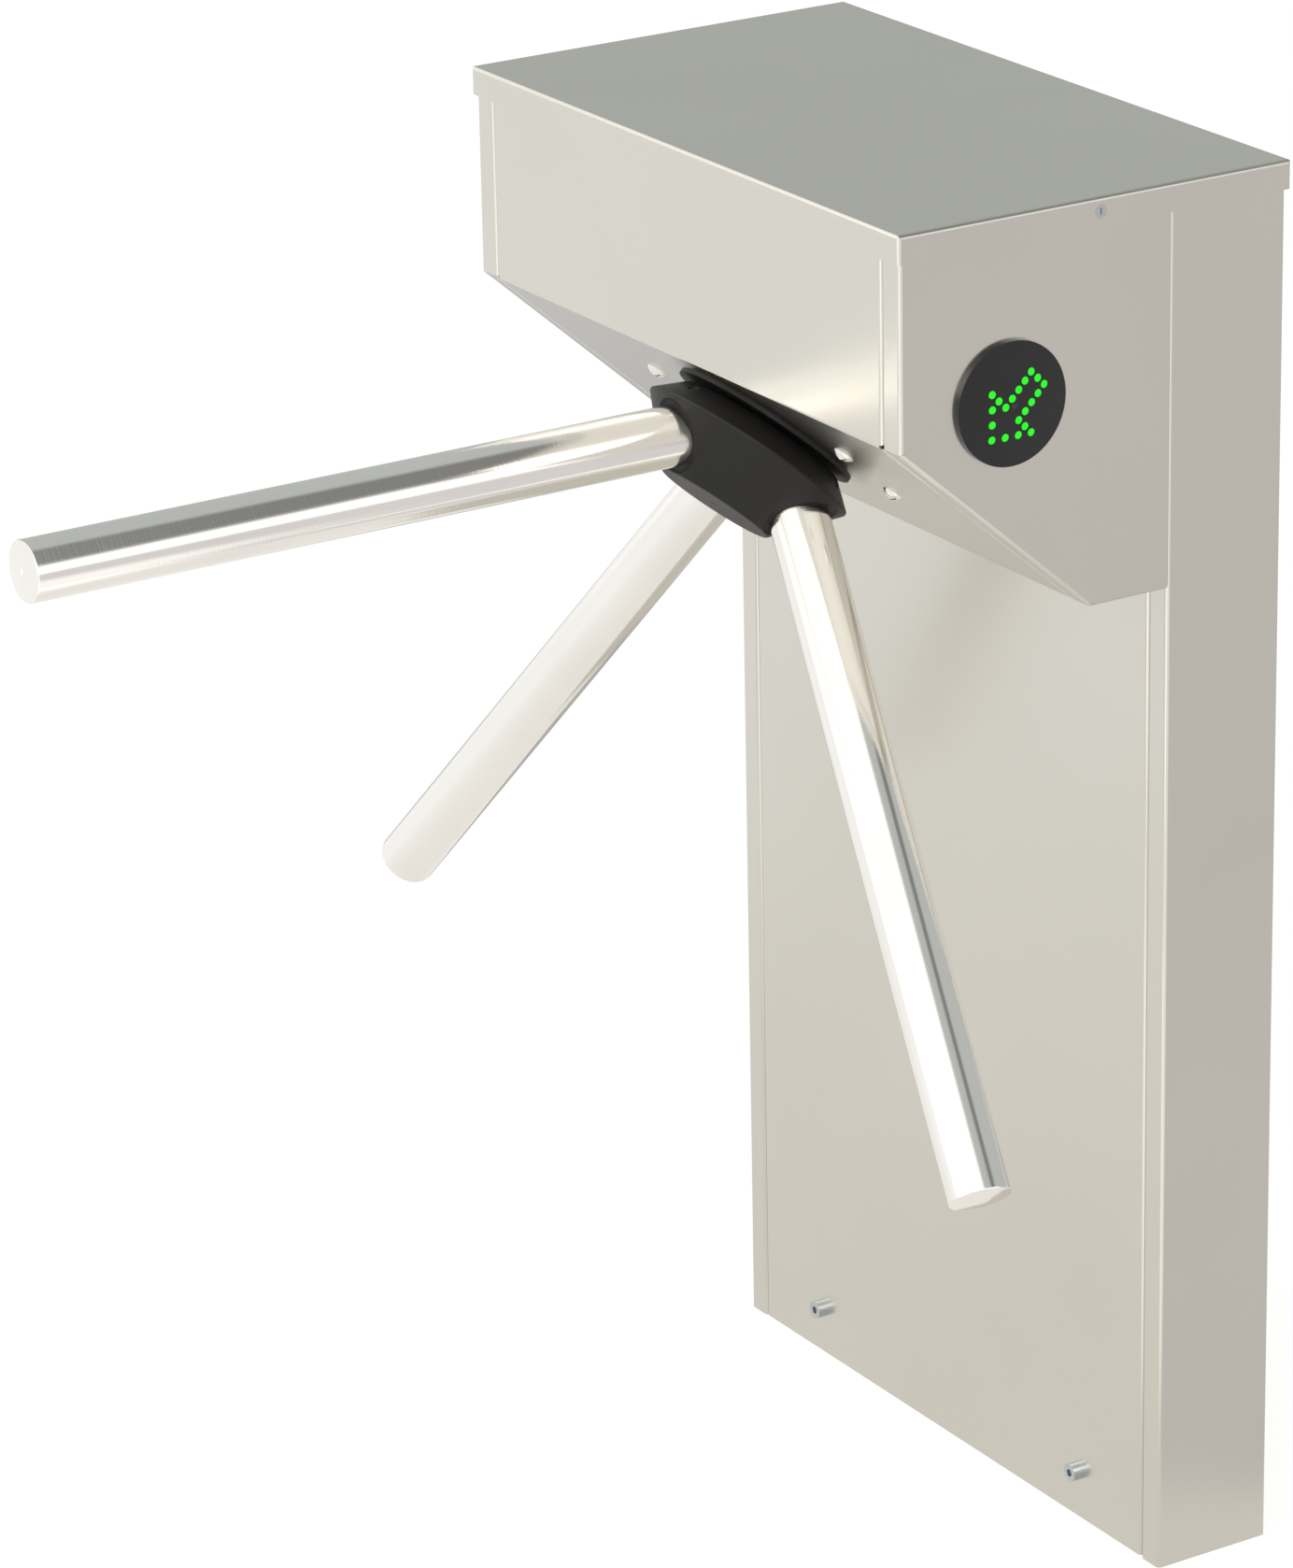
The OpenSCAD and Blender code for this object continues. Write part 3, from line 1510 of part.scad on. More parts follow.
post_shell();
front_cover();
front_cover_screws();
cover_brackets();
base_plate();
cable_grommet();
uprights();
left_cheek();
right_cheek();
nose_panel();
lid();
lid_lock();
mechanism_frame();
mechanism_deck();
panel_screws();
frame_bolts();
bearing_housing();
housing_screws();
bearing_outer_rings();
bearing_inner_rings();
bearing_balls();
shaft_spacers();
main_shaft();
drive_keys();
shaft_nut();
shield_disc();
hub();
hub_bolt();
hub_cap();
level_arm();
left_arm();
right_arm();
arm_end_caps();
arm_root_plugs();
arm_set_screws();
lock_disc();
index_cam();
main_gear();
sensor_disc();
left_pawl();
right_pawl();
pivot_pins();
lock_solenoids();
left_plunger();
right_plunger();
centring_lever();
centring_roller();
roller_pin();
centring_spring();
spring_bracket();
damper_body();
damper_pinion();
sensor_board();
control_board();
board_standoffs();
left_indicator_lens();
right_indicator_lens();
indicator_leds();
indicator_boards();
indicator_rings();
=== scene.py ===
import math

import bmesh
import bpy
from mathutils import Matrix, Vector

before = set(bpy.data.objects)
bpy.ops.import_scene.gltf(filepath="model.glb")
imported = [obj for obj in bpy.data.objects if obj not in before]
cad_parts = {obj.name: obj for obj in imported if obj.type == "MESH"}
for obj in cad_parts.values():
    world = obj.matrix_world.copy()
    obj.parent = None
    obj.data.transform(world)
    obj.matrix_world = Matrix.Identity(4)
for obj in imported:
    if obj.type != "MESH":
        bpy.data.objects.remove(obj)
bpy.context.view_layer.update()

# Viewpoint: the photograph is taken from the right and a little above, through a long lens,
# so the turnstile's edges run nearly parallel. The axes are those of the solved camera.
FOCAL_PIXELS = 7116.3
PHOTO_HEIGHT = 1678
SENSOR = 36.0
FAR_CLIP = 200
EYE = Vector((3.60183, -2.51636, 2.15771))
EYE_RIGHT = Vector((0.5314294, 0.8468892, -0.0190114))
EYE_UP = Vector((-0.2900997, 0.2030338, 0.9352109))
EYE_BACK = EYE_RIGHT.cross(EYE_UP)

lens = bpy.data.cameras.new("camera")
lens.sensor_width = SENSOR
lens.lens = FOCAL_PIXELS * SENSOR / PHOTO_HEIGHT
lens.clip_end = FAR_CLIP
camera = bpy.data.objects.new("camera", lens)
turn = Matrix((EYE_RIGHT, EYE_UP, EYE_BACK)).transposed()
camera.matrix_world = Matrix.Translation(EYE) @ turn.to_4x4()
bpy.context.scene.collection.objects.link(camera)
bpy.context.scene.camera = camera
bpy.context.scene.view_settings.view_transform = "Standard"

# Floor: a white studio sweep of painted board, far wider than the turnstile. What the metal mirrors
# of it holds painted light: painted shade close by, a warm grey painted shade to the right, which
# tints the casing's side, and a painted pool of light in front on the right, which draws white
# lines along the folds. The camera sees it white.
FLOOR_HALF = 40.0
FLOOR_WHITE = "#ffffff"
FLOOR_WHITE_SHADE = "#fcfcfb"
FLOOR_NEAR_SHADE = "#edebe6"
FLOOR_WARM_SHADE = "#d8d5d5"
FLOOR_DULL = "#626160"
FLOOR_GLOW = 0.93
FLOOR_LIGHT_POOL_GLOW = 1.5
SPECKLES_PER_M = 3.0
PLAIN_DETAIL = 2.0
NEAR_FROM = 0.3
NEAR_TO = 1.9
WARM_WAY = (0.851, 0.525, 0.0)
WARM_FROM = 0.26
WARM_TO = 0.38
BRIGHT_WAY = (0.525, -0.851, 0.0)
BRIGHT_FROM = 0.38
BRIGHT_TO = 0.5
BRIGHT_X_FROM = 0.1
BRIGHT_X_TO = 0.6
BRIGHT_Y_FROM = 0.3
BRIGHT_Y_TO = -0.1


def linear(code):
    """The linear colour of an sRGB hex value."""
    parts = [int(code[i:i + 2], 16) / 255 for i in (1, 3, 5)]
    return [p / 12.92 if p <= 0.04045 else ((p + 0.055) / 1.055) ** 2.4 for p in parts] + [1.0]


def add(tree, kind, sockets=(), **settings):
    """Adds a shader node with its settings, and links or sets the sockets that are named."""
    made = tree.nodes.new("ShaderNode" + kind)
    for name, value in settings.items():
        setattr(made, name, value)
    for name, value in dict(sockets).items():
        if isinstance(value, bpy.types.NodeSocket):
            tree.links.new(value, made.inputs[name])
        else:
            made.inputs[name].default_value = value
    return made


def new_material(name):
    """An empty material, its node tree, and the object coordinates that its patterns read."""
    material = bpy.data.materials.new(name)
    material.use_nodes = True
    tree = material.node_tree
    tree.nodes.clear()
    return material, tree, add(tree, "TexCoord").outputs["Object"]


def studio_sheet(name, low, high, lift, material):
    """A flat sheet of studio board between two corners, at a height above the ground."""
    mesh = bpy.data.meshes.new(name)
    middle = Matrix.Translation(((low[0] + high[0]) / 2, (low[1] + high[1]) / 2, lift))
    spread = Matrix.Diagonal(((high[0] - low[0]) / 2, (high[1] - low[1]) / 2, 1, 1))
    shape = bmesh.new()
    bmesh.ops.create_grid(shape, x_segments=1, y_segments=1, size=1, matrix=middle @ spread)
    shape.to_mesh(mesh)
    shape.free()
    mesh.materials.append(material)
    sheet = bpy.data.objects.new(name, mesh)
    bpy.context.scene.collection.objects.link(sheet)
    return sheet


sweep, tree, place = new_material("painted_studio_floor")
rays = add(tree, "LightPath").outputs
camera_ray = rays["Is Camera Ray"]
mirrored = add(tree, "Math", {0: 1.0, 1: camera_ray}, operation="SUBTRACT")
speckle = add(tree, "TexNoise", {"Vector": place, "Scale": SPECKLES_PER_M, "Detail": PLAIN_DETAIL})
# A colour Mix takes its factor at socket 0 and its colours at 6 and 7, and gives the mix at 2.
pale = add(tree, "Mix", {0: speckle.outputs["Fac"], 6: linear(FLOOR_WHITE), 7: linear(FLOOR_WHITE_SHADE)},
           data_type="RGBA")

# Painted shade: close to the turnstile, the floor that the metal mirrors darkens to a duller colour; the
# camera never sees it.
away = add(tree, "VectorMath", {0: place}, operation="LENGTH").outputs["Value"]
clear = add(tree, "MapRange", {"Value": away, "From Min": NEAR_FROM, "From Max": NEAR_TO})
clear = add(tree, "Math", {0: clear.outputs["Result"], 1: camera_ray}, operation="MAXIMUM")
ground = add(tree, "Mix", {0: clear.outputs[0], 6: linear(FLOOR_NEAR_SHADE), 7: pale.outputs[2]}, data_type="RGBA")

# Painted shade: to the right, the floor that the metal mirrors turns a warm grey; the camera never sees it.
along = add(tree, "VectorMath", {0: place, 1: WARM_WAY}, operation="DOT_PRODUCT").outputs["Value"]
warm = add(tree, "MapRange", {"Value": along, "From Min": WARM_FROM, "From Max": WARM_TO},
           interpolation_type="SMOOTHSTEP")
warm = add(tree, "Math", {0: warm.outputs["Result"], 1: mirrored.outputs[0]}, operation="MULTIPLY")
tone = add(tree, "Mix", {0: warm.outputs[0], 6: ground.outputs[2], 7: linear(FLOOR_WARM_SHADE)}, data_type="RGBA")

# Painted pool of light: in front on the right the floor glows harder, up to its bright glow; to the camera
# it still shows white.
along = add(tree, "VectorMath", {0: place, 1: BRIGHT_WAY}, operation="DOT_PRODUCT").outputs["Value"]
near = add(tree, "MapRange", {"Value": along, "From Min": BRIGHT_FROM, "From Max": BRIGHT_TO},
           interpolation_type="SMOOTHSTEP")
spot = add(tree, "SeparateXYZ", {0: place}).outputs
right = add(tree, "MapRange", {"Value": spot["X"], "From Min": BRIGHT_X_FROM, "From Max": BRIGHT_X_TO},
            interpolation_type="SMOOTHSTEP")
front = add(tree, "MapRange", {"Value": spot["Y"], "From Min": BRIGHT_Y_FROM, "From Max": BRIGHT_Y_TO},
            interpolation_type="SMOOTHSTEP")
pool = add(tree, "Math", {0: near.outputs["Result"], 1: right.outputs["Result"]}, operation="MULTIPLY")
pool = add(tree, "Math", {0: pool.outputs[0], 1: front.outputs["Result"]}, operation="MULTIPLY")
level = add(tree, "MapRange", {"Value": pool.outputs[0], "To Min": FLOOR_GLOW, "To Max": FLOOR_LIGHT_POOL_GLOW})

paint = add(tree, "BsdfDiffuse", {"Color": linear(FLOOR_DULL)})
glow = add(tree, "Emission", {"Color": tone.outputs[2], "Strength": level.outputs["Result"]})
both = add(tree, "AddShader", {0: paint.outputs[0], 1: glow.outputs[0]})
seen = add(tree, "Math", {0: camera_ray, 1: rays["Is Glossy Ray"]}, operation="MAXIMUM")
seen = add(tree, "Math", {0: seen.outputs[0], 1: rays["Is Transmission Ray"]}, operation="MAXIMUM")
shown = add(tree, "MixShader", {0: seen.outputs[0], 1: paint.outputs[0], 2: both.outputs[0]})
add(tree, "OutputMaterial", {"Surface": shown.outputs[0]})

floor = studio_sheet("floor", (-FLOOR_HALF, -FLOOR_HALF), (FLOOR_HALF, FLOOR_HALF), 0, sweep)

# Grey flag: a sheet of board on the floor behind the turnstile, out of the camera's sight, as a
# photographer lays one. The slanted face and the hub's end mirror it. Towards the turnstile it
# darkens, a painted shade that the slanted face mirrors beside the hub.
FLAG_GREY = "#cccdce"
FLAG_SHADE_GREY = "#b5b4b2"
FLAG_DARK_FROM = -1.6
FLAG_DARK_TO = -1.1
FLAG_FROM = (-4.0, 0.12)
FLAG_TO = (-0.42, 4.0)
FLAG_LIFT = 0.004

board, tree, place = new_material("grey_board")
along = add(tree, "SeparateXYZ", {0: place}).outputs["X"]
# Painted shade: the board turns a darker grey towards the turnstile.
shade = add(tree, "MapRange", {"Value": along, "From Min": FLAG_DARK_FROM, "From Max": FLAG_DARK_TO},
            interpolation_type="SMOOTHSTEP")
tone = add(tree, "Mix", {0: shade.outputs["Result"], 6: linear(FLAG_GREY), 7: linear(FLAG_SHADE_GREY)},
           data_type="RGBA")
glow = add(tree, "Emission", {"Color": tone.outputs[2]})
add(tree, "OutputMaterial", {"Surface": glow.outputs[0]})

flag = studio_sheet("grey_flag", FLAG_FROM, FLAG_TO, FLAG_LIFT, board)
flag.visible_camera = False
flag.visible_shadow = False
flag.visible_diffuse = False

# Studio: the half in front is one white silk, the half behind is grey wall. A white panel stands
# at the back on the right, and above it the wall is darkest, which draws the arms' dark stripe.
# Each soft edge runs from its FROM to its TO, in parts of the direction that a ray takes.
WALL_GREY = "#bfc3c2"
WALL_DARK = "#848483"
SILK_WHITE = (1.25, 1.25, 1.23, 1.0)
SILK_FROM = 0.02
SILK_TO = -0.15
PANEL_SIDE_FROM = 0.55
PANEL_SIDE_TO = 0.68
PANEL_TOP_FROM = 0.46
PANEL_TOP_TO = 0.38
DARK_MIDDLE = 0.49
DARK_HALF_FROM = 0.16
DARK_HALF_TO = 0.06
DARK_LEFT_FROM = -0.1
DARK_LEFT_TO = 0.14
DARK_LOW_FROM = 0.42
DARK_LOW_TO = 0.56

room = bpy.data.worlds.new("studio")
bpy.context.scene.world = room
room.use_nodes = True
tree = room.node_tree
tree.nodes.clear()
way = add(tree, "TexCoord").outputs["Generated"]
part = add(tree, "SeparateXYZ", {0: way}).outputs

silk = add(tree, "MapRange", {"Value": part["Y"], "From Min": SILK_FROM, "From Max": SILK_TO},
           interpolation_type="SMOOTHSTEP")
side = add(tree, "MapRange", {"Value": part["X"], "From Min": PANEL_SIDE_FROM, "From Max": PANEL_SIDE_TO},
           interpolation_type="SMOOTHSTEP")
low = add(tree, "MapRange", {"Value": part["Z"], "From Min": PANEL_TOP_FROM, "From Max": PANEL_TOP_TO},
          interpolation_type="SMOOTHSTEP")
panel = add(tree, "Math", {0: side.outputs["Result"], 1: low.outputs["Result"]}, operation="MULTIPLY")
white = add(tree, "Math", {0: silk.outputs["Result"], 1: panel.outputs[0]}, operation="MAXIMUM")

off = add(tree, "Math", {0: part["Y"], 1: DARK_MIDDLE}, operation="SUBTRACT")
off = add(tree, "Math", {0: off.outputs[0]}, operation="ABSOLUTE")
band = add(tree, "MapRange", {"Value": off.outputs[0], "From Min": DARK_HALF_FROM, "From Max": DARK_HALF_TO},
           interpolation_type="SMOOTHSTEP")
left = add(tree, "MapRange", {"Value": part["X"], "From Min": DARK_LEFT_FROM, "From Max": DARK_LEFT_TO},
           interpolation_type="SMOOTHSTEP")
high = add(tree, "MapRange", {"Value": part["Z"], "From Min": DARK_LOW_FROM, "From Max": DARK_LOW_TO},
           interpolation_type="SMOOTHSTEP")
dark = add(tree, "Math", {0: band.outputs["Result"], 1: left.outputs["Result"]}, operation="MULTIPLY")
dark = add(tree, "Math", {0: dark.outputs[0], 1: high.outputs["Result"]}, operation="MULTIPLY")
wall = add(tree, "Mix", {0: dark.outputs[0], 6: linear(WALL_GREY), 7: linear(WALL_DARK)}, data_type="RGBA")
both = add(tree, "Mix", {0: white.outputs[0], 6: wall.outputs[2], 7: SILK_WHITE}, data_type="RGBA")
air = add(tree, "Background", {"Color": both.outputs[2]})
add(tree, "OutputWorld", {"Surface": air.outputs[0]})

# Soft boxes: the key light stands high on the left in front. The front box hangs near the camera,
# and the level arm hands its light on to the nose panel as a bright streak.
KEY_PLACE = (-2.2, -3.2, 3.2)
KEY_AIM = (0, -0.15, 0.6)
KEY_SIDE = 2.0
KEY_RADIANCE = 2.4
KEY_COLOUR = "#ffffff"
FRONT_PLACE = (1.98, -1.65, 1.75)
FRONT_AIM = (0, -0.4, 0.85)
FRONT_WIDTH = 1.1
FRONT_HEIGHT = 1.5
FRONT_RADIANCE = 2.3
FRONT_COLOUR = "#fffdf8"


def soft_box(name, at, aim, width, height, radiance, colour):
    """A soft box that the camera doesn't see."""
    light = bpy.data.lights.new(name, "AREA")
    light.shape = "RECTANGLE"
    light.size = width
    light.size_y = height
    light.energy = radiance * math.pi * width * height
    light.color = linear(colour)[:3]
    holder = bpy.data.objects.new(name, light)
    holder.visible_camera = False
    look = (Vector(aim) - Vector(at)).to_track_quat("-Z", "Y")
    holder.matrix_world = Matrix.Translation(at) @ look.to_matrix().to_4x4()
    bpy.context.scene.collection.objects.link(holder)


soft_box("key_light", KEY_PLACE, KEY_AIM, KEY_SIDE, KEY_SIDE, KEY_RADIANCE, KEY_COLOUR)
soft_box("front_box", FRONT_PLACE, FRONT_AIM, FRONT_WIDTH, FRONT_HEIGHT, FRONT_RADIANCE, FRONT_COLOUR)

# Base plate, uprights and cover brackets: laser-cut mild steel plate and square tube, welded and
# powder-coated grey. The coat has a fine orange peel, drawn coarser than real, and a low gloss
# that clouds a little.
COAT_GREY = "#767a7d"
COAT_GREY_DARK = "#6c7073"
COAT_ROUGH = (0.38, 0.52)
COAT_CLOUDS_PER_M = 14.0
COAT_PEEL_PER_M = 1 / 0.0018
COAT_PEEL_STRENGTH = 0.25
COAT_PEEL_DEPTH = 0.0002
FINE_DETAIL = 3.0


def dress(material, *names):
    """Gives CAD nodes that keep their shape a finished material."""
    for name in names:
        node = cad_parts[name]
        if not node.material_slots:
            node.data.materials.append(material)
        for slot in node.material_slots:
            slot.material = material


coat, tree, place = new_material("grey_powder_coat")
peel = add(tree, "TexNoise", {"Vector": place, "Scale": COAT_PEEL_PER_M, "Detail": PLAIN_DETAIL})
bump = add(tree, "Bump", {"Height": peel.outputs["Fac"], "Strength": COAT_PEEL_STRENGTH,
                          "Distance": COAT_PEEL_DEPTH})
cloud = add(tree, "TexNoise", {"Vector": place, "Scale": COAT_CLOUDS_PER_M, "Detail": FINE_DETAIL})
tone = add(tree, "Mix", {0: cloud.outputs["Fac"], 6: linear(COAT_GREY), 7: linear(COAT_GREY_DARK)},
           data_type="RGBA")
gloss = add(tree, "MapRange", {"Value": cloud.outputs["Fac"], "To Min": COAT_ROUGH[0],
                               "To Max": COAT_ROUGH[1]})
skin = add(tree, "BsdfPrincipled", {"Base Color": tone.outputs[2], "Roughness": gloss.outputs["Result"],
                                    "Normal": bump.outputs["Normal"]})
add(tree, "OutputMaterial", {"Surface": skin.outputs[0]})
dress(coat, "base_plate", "uprights", "cover_brackets")

# Cable grommet: black rubber, moulded, and pressed into the base plate's cable hole. It is nearly
# black and dull, with a slight grain.
RUBBER_TONES = ("#1f1f1f", "#2c2b2a")
RUBBER_ROUGH = (0.6, 0.8)
RUBBER_GRAINS_PER_M = 1 / 0.0009
RUBBER_RELIEF = (0.2, 0.0001)


def grained(name, tones, rough, grains_per_m, detail, metallic=0.0, specular=0.5, relief=None):
    """A finish whose colour, gloss and relief (its strength and depth) follow one fine grain."""
    material, tree, place = new_material(name)
    grain = add(tree, "TexNoise", {"Vector": place, "Scale": grains_per_m, "Detail": detail}).outputs["Fac"]
    tone = add(tree, "Mix", {0: grain, 6: linear(tones[0]), 7: linear(tones[1])}, data_type="RGBA")
    gloss = add(tree, "MapRange", {"Value": grain, "To Min": rough[0], "To Max": rough[1]})
    look = {"Base Color": tone.outputs[2], "Metallic": metallic, "Roughness": gloss.outputs["Result"],
            "Specular IOR Level": specular}
    if relief:
        bump = add(tree, "Bump", {"Height": grain, "Strength": relief[0], "Distance": relief[1]})
        look["Normal"] = bump.outputs["Normal"]
    skin = add(tree, "BsdfPrincipled", look)
    add(tree, "OutputMaterial", {"Surface": skin.outputs[0]})
    return material


rubber = grained("black_rubber", RUBBER_TONES, RUBBER_ROUGH, RUBBER_GRAINS_PER_M, FINE_DETAIL,
                 relief=RUBBER_RELIEF)
dress(rubber, "cable_grommet")

# Mechanism frame and deck: laser-cut mild steel plates, welded, with the grey powder coat of the
# uprights. The frame is held to them by zinc-plated bolts, whose plating clouds faintly to blue.
ZINC_TONES = ("#c9cccd", "#b6bcc2")
ZINC_ROUGH = (0.24, 0.38)
ZINC_CLOUDS_PER_M = 220.0

zinc = grained("zinc_plated_steel", ZINC_TONES, ZINC_ROUGH, ZINC_CLOUDS_PER_M, FINE_DETAIL, metallic=1.0)
dress(coat, "mechanism_frame", "mechanism_deck")
dress(zinc, "frame_bolts")

# Bearing housing: cast aluminium, shot-blasted to an even pale grey grain and bored for its
# bearings. Zinc-plated screws through its flange hold it to the frame's slanted plate.
CAST_TONES = ("#b9bbbc", "#a2a5a7")
CAST_ROUGH = (0.42, 0.6)
CAST_GRAINS_PER_M = 1 / 0.0012
CAST_RELIEF = (0.3, 0.0002)

cast = grained("blasted_aluminium", CAST_TONES, CAST_ROUGH, CAST_GRAINS_PER_M, FINE_DETAIL, metallic=1.0,
               relief=CAST_RELIEF)
dress(cast, "bearing_housing")
dress(zinc, "housing_screws")

# Main shaft, ball bearings and spacers: bearing steel and tool steel, ground to size. They are
# grey and bright, with the marks of the grinding wheel drawn coarser than real.
GROUND_TONES = ("#b4b6b8", "#9ea1a4")
GROUND_ROUGH = (0.2, 0.34)
GROUND_MARKS_PER_M = 900.0

tool_steel = grained("ground_steel", GROUND_TONES, GROUND_ROUGH, GROUND_MARKS_PER_M, PLAIN_DETAIL,
                     metallic=1.0)
dress(tool_steel, "main_shaft", "shaft_spacers")
dress(tool_steel, "bearing_outer_rings", "bearing_inner_rings", "bearing_balls")

# Drive keys and shaft nut: the keys are sawn from brass bar and lie in the shaft under the lock
# disc, the index cam and the main gear. The zinc-plated nut holds that stack on the shaft.
BRASS_TONES = ("#cfab62", "#b98f49")
BRASS_ROUGH = (0.22, 0.36)
BRASS_MARKS_PER_M = 1 / 0.0011

brass = grained("machined_brass", BRASS_TONES, BRASS_ROUGH, BRASS_MARKS_PER_M, PLAIN_DETAIL, metallic=1.0)
dress(brass, "drive_keys")
dress(zinc, "shaft_nut")

# Lock disc and pawls: hardened tool steel, ground where the pawls' noses enter the disc's notches.
# The pawls swing on zinc-plated pins that stand on the deck.
dress(tool_steel, "lock_disc", "left_pawl", "right_pawl")
dress(zinc, "pivot_pins")

# Solenoids and plungers: blasted aluminium cans beside the frame's side plates. Each ground steel
# plunger holds its pawl's tail with a fork and a pin.
dress(cast, "lock_solenoids")
dress(tool_steel, "left_plunger", "right_plunger")

# Index cam, centring lever, roller and spring: the cam and the roller's pin are zinc-plated, the
# lever and its roller are ground tool steel, and the spring is coiled from bright steel wire. The
# bracket that the spring pushes on is bent plate in the grey powder coat.
dress(zinc, "index_cam", "roller_pin")
dress(tool_steel, "centring_lever", "centring_roller", "centring_spring")
dress(coat, "spring_bracket")

# Damper and its gears: brass wheels with cut teeth, one keyed to the shaft and one on the damper's
# own shaft. The damper's body is a blasted aluminium can on the deck.
dress(brass, "main_gear", "damper_pinion")
dress(cast, "damper_body")

# Sensor disc, boards and standoffs: a zinc-plated slotted disc, glass-fibre boards under a green
# solder mask that shows their weave faintly, and turned brass standoffs.
MASK_TONES = ("#2f6f45", "#235a36")
MASK_ROUGH = (0.3, 0.42)
MASK_THREADS_PER_M = 1 / 0.002

mask = grained("green_solder_mask", MASK_TONES, MASK_ROUGH, MASK_THREADS_PER_M, PLAIN_DETAIL)
dress(zinc, "sensor_disc")
dress(mask, "sensor_board", "control_board")
dress(brass, "board_standoffs")

# Post shell and front cover: stainless steel sheet, satin-ground and folded. The last grit leaves
# short straight lines up the post, drawn coarser than real, which soften what the sheet mirrors.
# Two zinc-plated screws hold the cover near the floor.
SATIN = "#d7d4cc"
SATIN_SHADE = "#d0cdc5"
SATIN_ROUGH = (0.2, 0.28)
SATIN_CLOUDS_PER_M = 5.0
ACROSS_GRIT = 1 / 0.0009
ALONG_GRIT = 1 / 0.09
GRIT_STRENGTH = 0.03
GRIT_DEPTH = 0.00005


def satin_steel(name, stretch):
    """Satin stainless steel, with its grit lines along the axes that are given as ALONG_GRIT."""
    material, tree, place = new_material(name)
    lie = add(tree, "Mapping", {"Vector": place, "Scale": stretch}).outputs[0]
    grit = add(tree, "TexNoise", {"Vector": lie, "Scale": 1.0, "Detail": FINE_DETAIL}).outputs["Fac"]
    cloud = add(tree, "TexNoise", {"Vector": place, "Scale": SATIN_CLOUDS_PER_M, "Detail": FINE_DETAIL})
    tone = add(tree, "Mix", {0: cloud.outputs["Fac"], 6: linear(SATIN), 7: linear(SATIN_SHADE)},
               data_type="RGBA")
    gloss = add(tree, "MapRange", {"Value": grit, "To Min": SATIN_ROUGH[0], "To Max": SATIN_ROUGH[1]})
    lines = add(tree, "Bump", {"Height": grit, "Strength": GRIT_STRENGTH, "Distance": GRIT_DEPTH})
    skin = add(tree, "BsdfPrincipled", {"Base Color": tone.outputs[2], "Metallic": 1.0,
                                        "Roughness": gloss.outputs["Result"],
                                        "Normal": lines.outputs["Normal"]})
    add(tree, "OutputMaterial", {"Surface": skin.outputs[0]})
    return material


upright_satin = satin_steel("satin_stainless_upright", (ACROSS_GRIT, ACROSS_GRIT, ALONG_GRIT))
dress(upright_satin, "post_shell", "front_cover")
dress(zinc, "front_cover_screws")

# Cheeks and nose panel: the head's sheets, of the same satin steel, folded where they meet. The
# cheeks' lines run upright, and the nose panel's run across its folds.
nose_satin = satin_steel("satin_stainless_nose", (ACROSS_GRIT, ALONG_GRIT, ALONG_GRIT))
dress(upright_satin, "left_cheek", "right_cheek")
dress(nose_satin, "nose_panel")

# Panel screws: large domed heads of satin stainless steel, driven by hand through the nose panel
# into the frame. Their slots are darkened with painted shade wherever ambient occlusion finds a
# hollow, which gives each head its dark line.
SCREW_BRIGHT = "#ebe9e4"
SCREW_ROUGH = (0.18, 0.28)
SCREW_CLOUDS_PER_M = 300.0
SLOT_SHADE_BLACK = "#161514"
SLOT_REACH = 0.002
SLOT_RAYS = 8
SLOT_OPEN_FROM = 0.4
SLOT_OPEN_TO = 0.8

domed, tree, place = new_material("satin_screw_heads")
# Painted shade: where the slot's hollow hides the head from the room, its colour turns near black.
slot_occlusion = add(tree, "AmbientOcclusion", {"Distance": SLOT_REACH}, samples=SLOT_RAYS).outputs["AO"]
unshaded = add(tree, "MapRange", {"Value": slot_occlusion, "From Min": SLOT_OPEN_FROM, "From Max": SLOT_OPEN_TO})
tone = add(tree, "Mix", {0: unshaded.outputs["Result"], 6: linear(SLOT_SHADE_BLACK), 7: linear(SCREW_BRIGHT)},
           data_type="RGBA")
cloud = add(tree, "TexNoise", {"Vector": place, "Scale": SCREW_CLOUDS_PER_M, "Detail": FINE_DETAIL})
gloss = add(tree, "MapRange", {"Value": cloud.outputs["Fac"], "To Min": SCREW_ROUGH[0],
                               "To Max": SCREW_ROUGH[1]})
skin = add(tree, "BsdfPrincipled", {"Base Color": tone.outputs[2], "Metallic": 1.0,
                                    "Roughness": gloss.outputs["Result"]})
add(tree, "OutputMaterial", {"Surface": skin.outputs[0]})
dress(domed, "panel_screws")

# Indicators: a lens of black acrylic, moulded and glossy, held in each cheek by a ring behind it.
# Twenty green lamps on a board inside shine through it as an arrow of pure green dots.
ACRYLIC_TONES = ("#101010", "#181818")
ACRYLIC_ROUGH = (0.06, 0.12)
ACRYLIC_SMEARS_PER_M = 70.0
LAMP_BODY = "#0a3a08"
LAMP_GREEN = "#00ff00"
LAMP_GREEN_WARM = "#0af506"
LAMP_ROUGH = 0.4
LAMP_GLOW = 1.0
LAMP_HAZE_PER_M = 1 / 0.0025

acrylic = grained("black_acrylic", ACRYLIC_TONES, ACRYLIC_ROUGH, ACRYLIC_SMEARS_PER_M, FINE_DETAIL)
dress(acrylic, "left_indicator_lens", "right_indicator_lens", "indicator_rings")
dress(mask, "indicator_boards")

